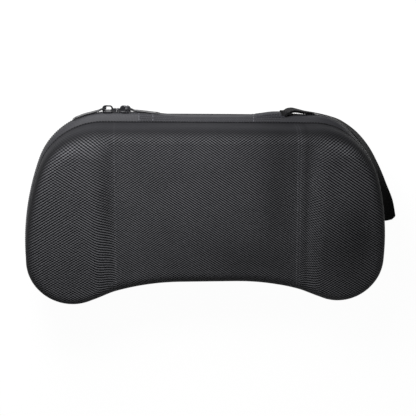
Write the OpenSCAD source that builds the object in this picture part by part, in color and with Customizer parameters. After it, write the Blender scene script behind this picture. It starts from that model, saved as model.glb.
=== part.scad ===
// Zipped hard case for a handheld console, lying on its flat back with the hinge at the far side (+Y)

/* [Case outline] */
// Half the width of the two shells where they meet the zip
half_w = 156.5; // [150:0.5:166]
// Height of the straight hinge edge above the middle of the case
top_y = 76; // [70:0.1:82]
// Radius of the two corners beside the hinge edge
corner_r = 57; // [50:1:60]
// Radius of the bowed left and right sides
side_r = 245; // [230:5:300]
// Radius of the two grip lobes
lobe_r = 39.5; // [38:0.5:44]
// How far the centres of the lobes lie below the middle
lobe_drop = 44.5; // [40:0.5:48]
// How far the arch between the lobes lies below the middle
arch_drop = 65; // [58:0.5:68]
// Half the width of the straight floor of the arch
arch_flat = 23.5; // [10:0.5:40]

/* [Shells] */
// Thickness of the moulded foam board
wall = 3.5; // [2.5:0.25:5]
// Depth of the rear shell, from its flat back to the middle of the zip
rear_depth = 32; // [28:0.5:40]
// Depth of the front shell at its flat centre panel, from the middle of the zip
front_depth = 30; // [26:0.5:38]
// Draft angle of both side walls
draft = 3; // [1:0.5:5]
// Radius of the edge between side wall and back
rear_edge_r = 10; // [8:0.5:12]
// Radius of the edge between side wall and front
front_edge_r = 12; // [9:0.5:14]
// How far the two grip humps rise above the centre panel
hump_rise = 4.5; // [2:0.5:8]
// Half the width of the flat centre panel
panel_half = 78; // [70:1:84]
// Width of the slope from the centre panel up to a hump
hump_slope = 20; // [14:1:26]

/* [Zip] */
// Half the height of the fabric band that carries the zip
seam_half = 7; // [6:0.25:8]
// How far the zip bulges past the shells along the hinge side
zip_rise = 6; // [4:0.25:8]
// How far the zip bulges past the shells everywhere else
zip_out = 1.5; // [0.5:0.1:2]
// Radius of the zip's own corners
zip_corner_r = 61; // [56:1:64]
// How far the fabric hinge sinks in at its middle
hinge_dip = 2.4; // [0:0.1:3]
// Thickness of the zip tape and the hinge fabric
tape_t = 0.8; // [0.6:0.1:1.2]
// Slit between the two rows of teeth
slit = 0.8; // [0.6:0.1:1.2]
// Height of one row of teeth
tooth_h = 2.6; // [2:0.1:3]
// How far the teeth stand out from the tape
tooth_out = 0.9; // [0.8:0.1:1.6]
// Distance from one tooth to the next
tooth_pitch = 3.2; // [2.6:0.2:5]

/* [Sliders] */
// Length of a slider along the zip
slider_l = 9; // [8:0.5:10]
// Distance between the two sliders, centre to centre
slider_gap = 14.3; // [13:0.1:17]
// Room for the right slider to run before it meets the stop at the hinge
slider_run = 6; // [4:0.5:12]
// Thickness of a slider's plates
plate_t = 1.1; // [1:0.1:1.6]
// Clearance between a slider and the zip
slider_clear = 0.45; // [0.3:0.05:0.6]
// Height of the bail that holds the pull
bail_h = 4; // [3.5:0.1:5]
// Thickness of the metal of the bail
bail_t = 1.2; // [0.9:0.1:1.5]
// Width of the bail
bail_w = 2; // [1.6:0.1:2.2]
// Length of a pull
pull_l = 27; // [20:1:34]
// Width of a pull at its free end
pull_w = 6; // [5:0.5:6.5]
// Thickness of a pull
pull_t = 1.2; // [0.8:0.1:1.4]
// How far the left pull leans in along the corner, in degrees
pull_lean_left = 13; // [0:1:13]
// How far the right pull leans in along the hinge, in degrees
pull_lean_right = 5; // [0:1:6]

/* [Wrist strap] */
// Width of the webbing
strap_w = 14; // [10:0.5:14]
// Thickness of one layer of the webbing
strap_t = 0.9; // [0.7:0.05:1]
// Room between the two layers of the strap's loop
loop_gap = 0.3; // [0.2:0.05:0.4]
// Length of the end that is sewn flat over the hinge fabric
tab_l = 20; // [14:1:24]
// How far the strap's loose end stands out from the side of the case
strap_stand = 15; // [12:0.5:18]

/* [Inside] */
// Depth of the console's recess in the tray
recess_depth = 15; // [8:0.5:16]
// Width of the ledge round the recess, measured from the outside of the case
ledge_w = 22; // [18:1:28]
// Radius of the two finger scoops beside the recess
scoop_r = 13; // [8:0.5:13]
// Width of the elastic strap over the console
elastic_w = 30; // [20:1:40]
// Thickness of the elastic strap
elastic_t = 1.4; // [1:0.1:1.5]
// Length of the tab that the elastic strap is fastened to, past the ledge
catch_reach = 20; // [12:1:26]
// How far the elastic strap laps over that tab
strap_lap = 12; // [8:1:16]
// Height of the mesh pocket's open edge above the middle of the case
pocket_top = 30; // [20:1:36]
// Thickness of the mesh
mesh_t = 0.8; // [0.6:0.1:1]
// Width of the elastic hem along the pocket's open edge
hem_w = 5; // [4:0.5:8]
// Clearance between a piece and the shell that it sits in
fit_gap = 0.3; // [0.2:0.05:0.4]

/* [Hidden] */
$fn = 48;

// The height of the plane in which the case opens
part_z = rear_depth;
// Steps along each stretch of the outline
strip_steps = 6;
shoulder_steps = 2;
corner_steps = 8;
side_steps = 5;
lobe_steps = 10;
arch_steps = 6;
floor_steps = 2;
edge_steps = 4;
// Points down one side of the outline, and round the whole of it
half_points = strip_steps + shoulder_steps + corner_steps + side_steps + lobe_steps
    + arch_steps + floor_steps;
outline_points = 2 * half_points;
// Places along the outline: the end of the hinge strip, and the end of the zip's soft stretch
strip_end = strip_steps;
soft_end = strip_steps + shoulder_steps + 2;
// Radius of the curves that lead from the lobes into the arch
arch_r = (pow(arch_drop - lobe_drop, 2) + pow(half_w - lobe_r - arch_flat, 2) - pow(lobe_r, 2))
    / (2 * (lobe_r - arch_drop + lobe_drop));
// Where the straight part of each side wall ends
rear_straight = rear_depth - seam_half - rear_edge_r;
front_straight = front_depth - seam_half - front_edge_r;

// Where the zip's corners begin, and the straight edge that carries the fabric hinge
function corner_x(w, top, corner, side) =
    w - side + sqrt(pow(side - corner, 2) - pow(top - corner + lobe_drop, 2));
zip_corner_x = corner_x(half_w + zip_out, top_y + zip_rise, zip_corner_r, side_r + zip_out);
zip_top = top_y + zip_rise;
// Bare tape between the sliders and the first tooth, and under the wrist strap
bare_left = 1.5;
bare_right = 7;
// Half the length of the fabric hinge between the ends of the zip
hinge_half = zip_corner_x - slider_gap - slider_l / 2 - slider_run - bare_left;

function smooth(from, to, t) =
    let (u = min(1, max(0, (t - from) / (to - from)))) u * u * (3 - 2 * u);

function mix(a, b, t) = a * (1 - t) + b * t;

// Points along an arc, without its last one
function arc(x, y, r, a0, a1, steps) =
    [for (i = [0 : steps - 1]) let (a = mix(a0, a1, i / steps)) [x + r * cos(a), y + r * sin(a)]];

// Right half of an outline: straight edge, corner, side, lobe and arch, each tangent to the next
function half_outline(w, top, corner, side, lobe, drop, arch) =
    let (
        cx = corner_x(w, top, corner, side),
        cy = top - corner,
        side_a = asin((cy + lobe_drop) / (side - corner)),
        lx = w - lobe,
        ay = -drop - arch,
        ax = lx - sqrt(pow(lobe + arch, 2) - pow(ay + lobe_drop, 2)),
        lobe_a = atan2(ay + lobe_drop, ax - lx)
    )
    concat(
        [for (i = [0 : strip_steps - 1]) [hinge_half * i / strip_steps, top]],
        [for (i = [0 : shoulder_steps - 1]) [mix(hinge_half, cx, i / shoulder_steps), top]],
        arc(cx, cy, corner, 90, side_a, corner_steps),
        arc(w - side, -lobe_drop, side, side_a, 0, side_steps),
        arc(lx, -lobe_drop, lobe, 0, lobe_a, lobe_steps),
        arc(ax, ay, arch, lobe_a + 180, 90, arch_steps),
        [for (i = [0 : floor_steps]) [ax * (1 - i / floor_steps), -drop]]
    );

// Whole outline, clockwise seen from the front
function both_halves(half) =
    concat(half, [for (i = [len(half) - 2 : -1 : 1]) [-half[i][0], half[i][1]]]);

// Outline of the shells, moved inwards by d
function outline(d) = both_halves(half_outline(
    half_w - d, top_y - d, corner_r - d, side_r - d, lobe_r - d, arch_drop - d, arch_r + d
));

// Depth of the hinge's dip at a place along the top edge
function dip(x) = hinge_dip * (1 - smooth(hinge_half / 3, hinge_half, abs(x)));

// Outline of the zip's outer face, moved inwards by d
function zip_outline(d) = [
    for (p = both_halves(half_outline(
        half_w + zip_out - d, top_y + zip_rise - d, zip_corner_r - d, side_r + zip_out - d,
        lobe_r + zip_out - d, arch_drop + zip_out - d, arch_r - zip_out + d
    ))) [p[0], p[1] - (p[1] > 0 && abs(p[0]) < hinge_half ? dip(p[0]) : 0)]
];

// A ring of 3-D points at height z
function at_height(points, z) = [for (p = points) [p[0], p[1], z]];

// Two triangles between neighbouring points of two rings, split along the shorter diagonal
function band(p, a, b, i, j) = norm(p[a + i] - p[b + j]) <= norm(p[a + j] - p[b + i])
    ? [[a + i, a + j, b + j], [a + i, b + j, b + i]]
    : [[a + i, a + j, b + i], [a + j, b + j, b + i]];

// Solid skinned over rings that run clockwise seen from above, with a flat fan at each end
module skin(rings) {
    n = len(rings[0]);
    m = len(rings);
    last = (m - 1) * n;
    p = concat([for (r = rings) each r], [[0, 0, rings[0][0][2]], [0, 0, rings[m - 1][0][2]]]);
    polyhedron(
        points = p,
        faces = concat(
            [for (i = [0 : n - 1]) [(i + 1) % n, i, m * n]],
            [for (k = [0 : m - 2], i = [0 : n - 1]) each band(p, k * n, (k + 1) * n, i, (i + 1) % n)],
            [for (i = [0 : n - 1]) [last + i, last + (i + 1) % n, m * n + 1]]
        )
    );
}

// Solid skinned over rings of which the last joins the first, such as a binding
module skin_round(rings) {
    n = len(rings[0]);
    m = len(rings);
    p = [for (r = rings) each r];
    polyhedron(
        points = p,
        faces = [
            for (k = [0 : m - 1], i = [0 : n - 1]) each band(p, k * n, ((k + 1) % m) * n, i, (i + 1) % n)
        ]
    );
}

// Thin ribbon through cross-sections, whose points go up one face and back down the other
module ribbon(sections) {
    n = len(sections[0]);
    h = n / 2;
    last = (len(sections) - 1) * n;
    p = [for (s = sections) each s];
    polyhedron(
        points = p,
        faces = concat(
            [for (k = [0 : h - 2]) each [[k, k + 1, n - 2 - k], [k, n - 2 - k, n - 1 - k]]],
            [
                for (k = [0 : len(sections) - 2], i = [0 : n - 1])
                    each band(p, (k + 1) * n, k * n, i, (i + 1) % n)
            ],
            [
                for (k = [0 : h - 2]) each [
                    [last + n - 2 - k, last + k + 1, last + k],
                    [last + n - 1 - k, last + n - 2 - k, last + k]
                ]
            ]
        )
    );
}

// Inset and depth of a side wall and its rounded edge, from the seam outwards
function wall_profile(straight, edge_r, shell_t) =
    let (lean = straight * tan(draft))
    concat(
        [[shell_t, 0], [shell_t + lean, straight]],
        [
            for (i = [1 : edge_steps]) let (a = 90 * i / edge_steps, r = edge_r - shell_t)
                [lean + edge_r - r * cos(a), straight + r * sin(a)]
        ]
    );

// Height of the front above its centre panel: the humps fall off to the sides and end before the hinge
hump_fall = 0.4;
hump_start = 24;
hump_end = 7;
function relief(x, y) = hump_rise * smooth(panel_half, panel_half + hump_slope, abs(x))
    * (1 - hump_fall * smooth(panel_half + hump_slope, half_w, abs(x)))
    * (1 - smooth(top_y - hump_start, top_y - hump_end, y));

// Rings of one face of the front shell, from the seam to the middle of the panel
outer_scales = [0.92, 0.84, 0.76, 0.69, 0.62, 0.55, 0.46];
inner_scales = [0.84, 0.7, 0.62, 0.55, 0.46];
function front_rings(shell_t, scales) =
    let (
        profile = wall_profile(front_straight, front_edge_r, shell_t),
        inner = outline(profile[len(profile) - 1][0]),
        top = front_depth - shell_t
    )
    concat(
        [
            for (p = profile) let (w = smooth(front_straight - 2, front_depth - seam_half, p[1]))
                [for (q = outline(p[0])) [q[0], q[1], part_z + seam_half + p[1] + w * relief(q[0], q[1])]]
        ],
        [for (s = scales) [for (q = inner) [q[0] * s, q[1] * s, part_z + top + relief(q[0] * s, q[1] * s)]]]
    );

function reversed(list) = [for (i = [len(list) - 1 : -1 : 0]) list[i]];

// Point at a place i of the zip band: f runs from the shell's edge to the zip, d goes inwards
function band_point(edge, zip, i, f, z) =
    [mix(edge[i % outline_points][0], zip[i % outline_points][0], f),
     mix(edge[i % outline_points][1], zip[i % outline_points][1], f), part_z + z];

// How the band stands out on its way from the shell, at f = 0, to the teeth, at f = 1
tuck = 0.2;
shoulder_f = 0.6;
shoulder_z = mix(seam_half, slit / 2 + tooth_h, 0.6);
band_steps = [[0, seam_half], [shoulder_f, shoulder_z], [1, slit / 2 + tooth_h], [1, slit / 2]];

// Cross-sections of a zip tape between two places of the outline, on the side given by up
function tape_sections(from, to, up) =
    let (edge = outline(tuck), zip = zip_outline(0), edge_in = outline(tuck + tape_t), zip_in = zip_outline(tape_t))
    [
        for (i = [from : to]) let (
            out = [for (s = band_steps) band_point(edge, zip, i, s[0], up * s[1])],
            in = [for (s = band_steps) band_point(edge_in, zip_in, i, s[0], up * s[1])]
        )
        up > 0 ? concat(in, reversed(out)) : concat(out, reversed(in))
    ];

// Cross-sections of the hinge fabric, which has no slit
function strip_sections(from, to) =
    let (
        edge = outline(tuck), zip = zip_outline(0),
        edge_in = outline(tuck + tape_t), zip_in = zip_outline(tape_t),
        half = [for (k = [0 : 2]) band_steps[k]],
        across = concat([for (s = half) [s[0], -s[1]]], reversed(half))
    )
    [
        for (i = [from : to]) concat(
            [for (s = across) band_point(edge, zip, i, s[0], s[1])],
            [for (s = reversed(across)) band_point(edge_in, zip_in, i, s[0], s[1])]
        )
    ];

// Outer edge of a row of teeth along one stretch of the outline
tooth_root = 0.35;
tooth_shape = [[0.14, 0], [0.26, 1], [0.74, 1], [0.86, 0]];
function teeth_along(a, b, shift) =
    let (
        length = norm(b - a), count = max(1, round(length / tooth_pitch)),
        along = (b - a) / length, out = [-along[1], along[0]]
    )
    [
        for (k = [0 : count - 1], t = tooth_shape)
            a + along * min(length, (k + t[0] + shift) * length / count)
              + out * mix(tooth_root, tooth_out, t[1])
    ];

// Point of the zip's line, moved past the bare end of the tape
function past_bare_end(p) = abs(p[0]) <= hinge_half && p[1] > 0
    ? [p[0] < 0 ? -hinge_half - bare_left : hinge_half + bare_right, p[1]] : p;

module tooth_row(from, to, up, shift) {
    line = zip_outline(0);
    path = [for (i = [from : to]) past_bare_end(line[i % outline_points])];
    height = [slit / 2, slit / 2 + tooth_h];
    translate([0, 0, part_z + (up > 0 ? height[0] : -height[1])])
        linear_extrude(tooth_h)
            polygon(concat(
                [for (i = [0 : len(path) - 2]) each teeth_along(path[i], path[i + 1], shift)],
                reversed(path)
            ));
}

// Tape that is folded over the edge of a shell, inside the zip
binding_t = 1.2;
binding_h = 1.8;
module edge_binding(up) {
    section = [
        [tuck + tape_t + fit_gap, seam_half], [tuck + tape_t + fit_gap, seam_half - binding_t],
        [wall + fit_gap + binding_t, seam_half - binding_t], [wall + fit_gap + binding_t, seam_half + binding_h],
        [wall + fit_gap, seam_half + binding_h], [wall + fit_gap, seam_half]
    ];
    rings = [for (s = section) at_height(outline(s[0]), part_z + up * s[1])];
    skin_round(up > 0 ? reversed(rings) : rings);
}

// Moulded rear half, with a flat back that the case rests on
module rear_shell() color("#2b2b2e") {
    out = [for (p = wall_profile(rear_straight, rear_edge_r, 0)) at_height(outline(p[0]), part_z - seam_half - p[1])];
    in = [for (p = wall_profile(rear_straight, rear_edge_r, wall)) at_height(outline(p[0]), part_z - seam_half - p[1])];
    skin(concat(reversed(out), in));
}

// Moulded front half, with a flat centre panel between two grip humps
module front_shell() color("#2b2b2e") {
    skin(concat(reversed(front_rings(wall, inner_scales)), front_rings(0, outer_scales)));
}

module rear_binding() color("#1d1d20") edge_binding(-1);

module front_binding() color("#1d1d20") edge_binding(1);

module rear_zip_tape() color("#26282e")
    ribbon(tape_sections(strip_end, outline_points - strip_end, -1));

module front_zip_tape() color("#26282e")
    ribbon(tape_sections(soft_end, outline_points - soft_end, 1));

module rear_zip_teeth() color("#17181b")
    tooth_row(strip_end, outline_points - strip_end, -1, 0);

module front_zip_teeth() color("#17181b")
    tooth_row(soft_end, outline_points - soft_end, 1, 0.14);

// Fabric that the lid hinges on, between the two ends of the zip
module hinge_strip() color("#24262b")
    ribbon(strip_sections(outline_points - strip_end, outline_points + strip_end));

// Upper half of the zip beside the hinge, which bends as the lid opens
module zip_end(from, to) color("#26282e") {
    ribbon(tape_sections(from, to, 1));
    tooth_row(from, to, 1, 0.14);
}

module zip_end_right() zip_end(strip_end, soft_end);

module zip_end_left() zip_end(outline_points - soft_end, outline_points - strip_end);

// Stops crimped on the lower tape at both ends of the zip
stop_l = 1.4;
module zip_stops() color("#3c3d40")
    for (x = [-hinge_half - bare_left, hinge_half + bare_right - stop_l])
        translate([x, zip_top, part_z - slit / 2 - tooth_h]) cube([stop_l, tooth_out + 0.2, tooth_h]);

// A slider stands with the zip's outer face at y = 0 and runs along x, with its bail outwards
cover_y = tooth_out + slider_clear;
cover_half = slit / 2 + tooth_h + slider_clear + 1;
flange_t = 0.9;
post_half = slit / 2 - 0.18;
pivot_x = 2;
pivot_y = cover_y + plate_t + (bail_h - bail_t) / 2;

// Rounded rectangle, as a polygon
function rounded(x0, y0, x1, y1, r) = concat(
    arc(x1 - r, y1 - r, r, 0, 90, 5), [[x1 - r, y1]], arc(x0 + r, y1 - r, r, 90, 180, 5), [[x0, y1 - r]],
    arc(x0 + r, y0 + r, r, 180, 270, 5), [[x0 + r, y0]], arc(x1 - r, y0 + r, r, 270, 360, 5), [[x1, y0 + r]]
);

module slider() {
    half_l = slider_l / 2;
    translate([0, cover_y + plate_t, 0]) rotate([90, 0, 0])
        linear_extrude(plate_t) polygon(rounded(-half_l, -cover_half, half_l, cover_half, 1.6));
    for (side = [-1, 1])
        translate([-half_l + 1.6, slider_clear, side * (cover_half - flange_t / 2) - flange_t / 2])
            cube([slider_l - 3.2, tooth_out + 0.1, flange_t]);
    inner_half = slit / 2 + tooth_h - 0.1;
    translate([-half_l + 0.5, -tape_t - slider_clear - 0.1 - plate_t, -inner_half])
        cube([slider_l - 1, plate_t, 2 * inner_half]);
    translate([half_l - 2.4, -tape_t - slider_clear - 0.2, -post_half])
        cube([1.6, tape_t + slider_clear + cover_y + 0.4, 2 * post_half]);
    translate([0, cover_y + plate_t, -bail_w / 2]) linear_extrude(bail_w) difference() {
        polygon(rounded(-half_l + 0.3, -0.6, half_l - 0.3, bail_h, 2.2));
        translate([-half_l + 0.3 + bail_t, -1]) square([slider_l - 0.6 - 2 * bail_t, bail_h - bail_t + 1]);
        translate([-half_l, -1]) square([slider_l, 0.9]);
    }
}

// A pull hangs on its pivot at the origin and lies along -x
module pull() {
    eye_half = bail_w / 2 + 0.35;
    eye_l = slider_l / 2 + 0.1;
    arm = 1.25;
    rotate([90, 0, 0]) translate([0, 0, -pull_t / 2]) linear_extrude(pull_t) difference() {
        union() {
            polygon(concat(
                [[0, -eye_half - arm], [0, eye_half + arm], [-eye_l - 2, eye_half + arm - 0.4]],
                [[-pull_l * 0.6, pull_w / 2], [-pull_l + pull_w / 2, pull_w / 2]],
                arc(-pull_l + pull_w / 2, 0, pull_w / 2, 90, 270, 10),
                [[-pull_l + pull_w / 2, -pull_w / 2], [-pull_l * 0.6, -pull_w / 2]],
                [[-eye_l - 2, -eye_half - arm + 0.4]]
            ));
        }
        translate([-eye_l, -eye_half]) square([eye_l + 1, 2 * eye_half]);
        translate([-pull_l + pull_w / 2, 0]) circle(d = 2.2);
    }
    translate([0, 0, -eye_half - arm]) cylinder(d = pull_t, h = 2 * (eye_half + arm));
}

module slider_left() color("#4a4b4e")
    translate([-zip_corner_x, zip_top, part_z]) slider();

module slider_right() color("#4a4b4e")
    translate([slider_gap - zip_corner_x, zip_top, part_z]) mirror([1, 0, 0]) slider();

module pull_left() color("#434447")
    translate([-zip_corner_x - pivot_x, zip_top + pivot_y, part_z]) rotate([0, 0, pull_lean_left]) pull();

module pull_right() color("#434447")
    translate([slider_gap - zip_corner_x + pivot_x, zip_top + pivot_y, part_z])
        rotate([0, 0, -pull_lean_right]) mirror([1, 0, 0]) pull();

// Patch of webbing sewn over the strap's ends, which follows the hinge fabric's bulge
loop_t = 2 * strap_t + loop_gap;
tab_share = 0.3;
function tab_face(x, d) =
    let (
        edge = top_y - tuck, crown = zip_top - dip(x),
        half = [
            [shoulder_f * (1 - tab_share), mix(shoulder_z, seam_half, tab_share) + 0.6 * d],
            [shoulder_f, shoulder_z + 0.6 * d], [1, slit / 2 + tooth_h + 0.35 * d]
        ]
    )
    concat(
        [for (s = half) [x, mix(edge, crown, s[0]) + d, part_z - s[1]]],
        [for (s = reversed(half)) [x, mix(edge, crown, s[0]) + d, part_z + s[1]]]
    );
module strap_tab() color("#1a1a1c")
    ribbon([
        for (i = [0 : 5]) let (x = hinge_half - tab_l * (1 - i / 5))
            concat(tab_face(x, fit_gap + strap_t), reversed(tab_face(x, fit_gap)))
    ]);

// Stations of the strap's loop: its place along the zip's line, the share of its standing out, how
// far it has sunk to the floor, and which way its width points
strap_route = [
    [[6.04, 0.007, 0], [0, 0, -1]],
    [[6.3, 0.06, 0], [0, 0, -1]],
    [[6.6, 0.11, 0.02], [0, 0, -1]],
    [[7.4, 0.09, 0.1], [0, -0.1, -1]],
    [[8.2, -0.03, 0.27], [0, -0.35, -0.94]],
    [[9.2, -0.24, 0.39], [0, -0.3, -0.95]],
    [[10.4, -0.29, 0.52], [0.05, -0.1, -1]],
    [[12, -0.2, 0.6], [0.1, 0.05, -1]],
    [[14, -0.055, 0.66], [0.2, 0.15, -0.97]],
    [[16, 0.055, 0.73], [0.38, 0.2, -0.9]],
    [[17.1, 0.27, 0.8], [0.62, 0.2, -0.76]],
    [[18.2, 0.53, 0.9], [0.88, 0.2, -0.43]],
    [[19.1, 0.83, 0.97], [0.96, 0.2, -0.15]],
    [[19.7, 1, 1], [0.97, 0.2, -0.05]]
];

// Smooth curve through four neighbouring stations
function between(a, b, c, d, t) = 0.5 * (2 * b + (c - a) * t + (2 * a - 5 * b + 4 * c - d) * t * t
    + (3 * b - a - 3 * c + d) * t * t * t);

station_steps = 3;
strap_low = 2.2;
strap_seat = fit_gap + loop_t / 2;
last_station = len(strap_route) - 1;

function unit(v) = v / norm(v);

// Position of a station: its place, share and fall turned into millimetres
function station_point(place, share, fall) =
    let (
        line = zip_outline(0), k = floor(place), along = unit(line[k + 1] - line[k]),
        p = mix(line[k], line[k + 1], place - k) + (strap_seat + share * strap_stand) * [-along[1], along[0]]
    )
    [p[0], p[1], mix(part_z, strap_low, fall)];

stations = [for (s = strap_route) [station_point(s[0][0], s[0][1], s[0][2]), s[1]]];

// Value at a place i between the stations, of their position or of their width direction
function route(i, part) =
    let (k = min(floor(i), last_station - 1))
    between(stations[max(0, k - 1)][part], stations[k][part], stations[k + 1][part],
        stations[min(last_station, k + 2)][part], i - k);

// Cross-section of one layer of webbing, offset to one side of the middle line
function webbing(i, side, turn) =
    let (
        c = route(i, 0), w = unit(route(i, 1)),
        ahead = unit(route(min(last_station, i + 0.1), 0) - route(max(0, i - 0.1), 0)),
        n = unit(cross(ahead, w)),
        mid = c + n * side * (loop_gap + strap_t) / 2 * cos(turn) + ahead * (loop_gap + strap_t) / 2 * sin(turn),
        out = n * cos(turn) * side + ahead * sin(turn),
        h = w * strap_w / 2, o = out * strap_t / 2
    )
    [mid - h - o, mid + h - o, mid + h + o, mid - h + o];

// Loop of webbing that leaves the hinge, lies round the corner and comes down beside the case
module wrist_strap() color("#1a1a1c") {
    count = last_station * station_steps;
    ribbon(concat(
        [for (i = [0 : count]) webbing(i / station_steps, 1, 0)],
        [for (turn = [30 : 30 : 90]) webbing(last_station, 1, turn)],
        [for (turn = [60 : -30 : 30]) webbing(last_station, -1, turn)],
        [for (i = [count : -1 : 0]) webbing(i / station_steps, -1, 0)]
    ));
}

// Moulded foam tray that fills the rear shell, with a recess in the console's shape
tray_top = part_z - seam_half - binding_h - fit_gap;
scoop_y = -6;
module console_tray() color("#38383c") {
    profile = wall_profile(rear_straight, rear_edge_r, wall + fit_gap);
    start = seam_half + binding_h + fit_gap;
    lip = wall + fit_gap + (start - seam_half) * tan(draft);
    difference() {
        skin(concat(
            [for (k = [len(profile) - 1 : -1 : 1]) at_height(outline(profile[k][0]), part_z - seam_half - profile[k][1])],
            [at_height(outline(lip), tray_top)]
        ));
        translate([0, 0, tray_top - recess_depth]) linear_extrude(recess_depth + 1) polygon(outline(ledge_w));
        for (side = [-1, 1])
            translate([side * (half_w - ledge_w), scoop_y, tray_top - recess_depth / 2])
                cylinder(r = scoop_r, h = recess_depth);
    }
}

// Elastic strap that holds the console down, sewn to the ledge on the hinge side
strap_sew = 10;
sewn_in = 5;
catch_end = -arch_drop + ledge_w + catch_reach;
module hold_down_strap() color("#222226") {
    far = top_y - wall - sewn_in;
    near = catch_end - strap_lap;
    translate([-elastic_w / 2, near, tray_top + elastic_t + 0.1])
        cube([elastic_w, far - near, elastic_t]);
    translate([-elastic_w / 2, far - strap_sew, tray_top])
        cube([elastic_w, strap_sew, elastic_t + 0.2]);
}

// Short tab that the strap fastens to, sewn to the ledge on the arch side
module strap_catch() color("#222226") {
    sewn = -arch_drop + wall + sewn_in;
    translate([-elastic_w / 2, sewn, tray_top]) cube([elastic_w, catch_end - sewn, elastic_t]);
}

// Net across the lower part of the lid
mesh_z = part_z + seam_half + binding_h + 1;
module inside_lid(from, to, z, t)
    translate([0, 0, z]) linear_extrude(t) intersection() {
        polygon(outline(wall + 2 * fit_gap));
        translate([-half_w, from]) square([2 * half_w, to - from]);
    }

module mesh_pocket() color("#1f1f22") inside_lid(-lobe_drop - lobe_r, pocket_top, mesh_z, mesh_t);

module pocket_hem() color("#2a2a2d") inside_lid(pocket_top, pocket_top + hem_w, mesh_z - 0.5, mesh_t + 1);

rear_shell();
rear_binding();
rear_zip_tape();
rear_zip_teeth();
hinge_strip();
zip_end_left();
zip_end_right();
zip_stops();
strap_tab();
wrist_strap();
console_tray();
hold_down_strap();
strap_catch();
front_shell();
front_binding();
front_zip_tape();
front_zip_teeth();
mesh_pocket();
pocket_hem();
slider_left();
slider_right();
pull_left();
pull_right();
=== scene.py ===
import functools
import math

import bmesh
import bpy
import numpy as np
from mathutils import Matrix, Vector


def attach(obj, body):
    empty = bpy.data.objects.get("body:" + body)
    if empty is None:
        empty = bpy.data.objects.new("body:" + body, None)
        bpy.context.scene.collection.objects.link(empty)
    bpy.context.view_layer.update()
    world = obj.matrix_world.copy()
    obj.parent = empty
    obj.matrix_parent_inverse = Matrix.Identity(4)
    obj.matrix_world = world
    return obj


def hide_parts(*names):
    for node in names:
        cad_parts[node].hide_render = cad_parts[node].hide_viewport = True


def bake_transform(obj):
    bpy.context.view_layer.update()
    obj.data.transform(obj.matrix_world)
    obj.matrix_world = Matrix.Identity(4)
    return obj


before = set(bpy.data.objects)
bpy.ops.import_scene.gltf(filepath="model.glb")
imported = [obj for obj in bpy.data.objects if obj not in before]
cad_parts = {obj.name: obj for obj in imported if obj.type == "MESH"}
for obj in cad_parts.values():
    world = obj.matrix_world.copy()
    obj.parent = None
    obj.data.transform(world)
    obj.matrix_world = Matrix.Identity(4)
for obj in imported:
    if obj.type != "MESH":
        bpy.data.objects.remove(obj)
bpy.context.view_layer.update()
print("frame loaded")

# Outline and depths of the case, in millimetres, as the solids have them
caseShape = {
    "halfWidth": 156.5, "topY": 76, "cornerR": 57, "sideR": 245, "lobeR": 39.5, "lobeDrop": 44.5,
    "archDrop": 65, "archR": 200.06, "wall": 3.5, "rearDepth": 32, "frontDepth": 30, "draft": 3,
    "rearEdgeR": 10, "frontEdgeR": 12, "humpRise": 4.5, "humpFall": 0.4, "panelHalf": 78,
    "humpSlope": 20, "humpStart": 24, "humpEnd": 7, "seamHalf": 7,
}
zipShape = {
    "rise": 6, "out": 1.5, "cornerR": 61, "hingeHalf": 58.751, "dip": 2.4, "tapeT": 0.8, "slit": 0.8,
    "toothH": 2.6, "toothOut": 0.9, "tuck": 0.2, "bareLeft": 1.5, "bareRight": 7,
}
fineSteps = {"strip": 24, "shoulder": 8, "corner": 28, "side": 20, "lobe": 36, "arch": 24, "floor": 8}
coarseSteps = {"strip": 6, "shoulder": 2, "corner": 8, "side": 5, "lobe": 10, "arch": 6, "floor": 2}
# The tight strap has pulled the corner behind it in, and pressed the zip's band flatter there
casePull = [{"at": (127.0, 60.0), "reach": 27.0, "by": (1.7, 1.65)}]
bandPull = [{"at": (127.0, 60.0), "reach": 27.0, "by": (1.6, 1.5)},
            {"at": (82.0, 82.0), "reach": 17.0, "by": (0.0, 1.3)}]
partZ = caseShape["rearDepth"]
zipTop = caseShape["topY"] + zipShape["rise"]


def smooth(low, high, t):
    u = np.clip((np.asarray(t, float) - low) / (high - low), 0, 1)
    return u * u * (3 - 2 * u)


def lengths(line):
    return np.concatenate([[0], np.cumsum(np.linalg.norm(np.diff(line, axis=0), axis=1))])


def atHeight(line, z):
    return np.column_stack([line, np.broadcast_to(z, len(line))])


def arcPoints(x, y, r, a0, a1, steps):
    a = np.radians(a0 + (a1 - a0) * np.arange(steps) / steps)
    return np.column_stack([x + r * np.cos(a), y + r * np.sin(a)])


def linePoints(x0, x1, y, steps, last=False):
    t = np.arange(steps + last) / steps
    return np.column_stack([x0 + (x1 - x0) * t, np.full(len(t), float(y))])


def halfOutline(w, top, corner, side, lobe, drop, arch, steps):
    low, hinge = caseShape["lobeDrop"], zipShape["hingeHalf"]
    cy = top - corner
    cx = w - side + math.sqrt((side - corner) ** 2 - (cy + low) ** 2)
    sideA = math.degrees(math.asin((cy + low) / (side - corner)))
    lx, ay = w - lobe, -drop - arch
    ax = lx - math.sqrt((lobe + arch) ** 2 - (ay + low) ** 2)
    lobeA = math.degrees(math.atan2(ay + low, ax - lx))
    return np.vstack([
        linePoints(0, hinge, top, steps["strip"]), linePoints(hinge, cx, top, steps["shoulder"]),
        arcPoints(cx, cy, corner, 90, sideA, steps["corner"]),
        arcPoints(w - side, -low, side, sideA, 0, steps["side"]),
        arcPoints(lx, -low, lobe, 0, lobeA, steps["lobe"]),
        arcPoints(ax, ay, arch, lobeA + 180, 90, steps["arch"]),
        linePoints(ax, 0, -drop, steps["floor"], True),
    ])


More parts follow.
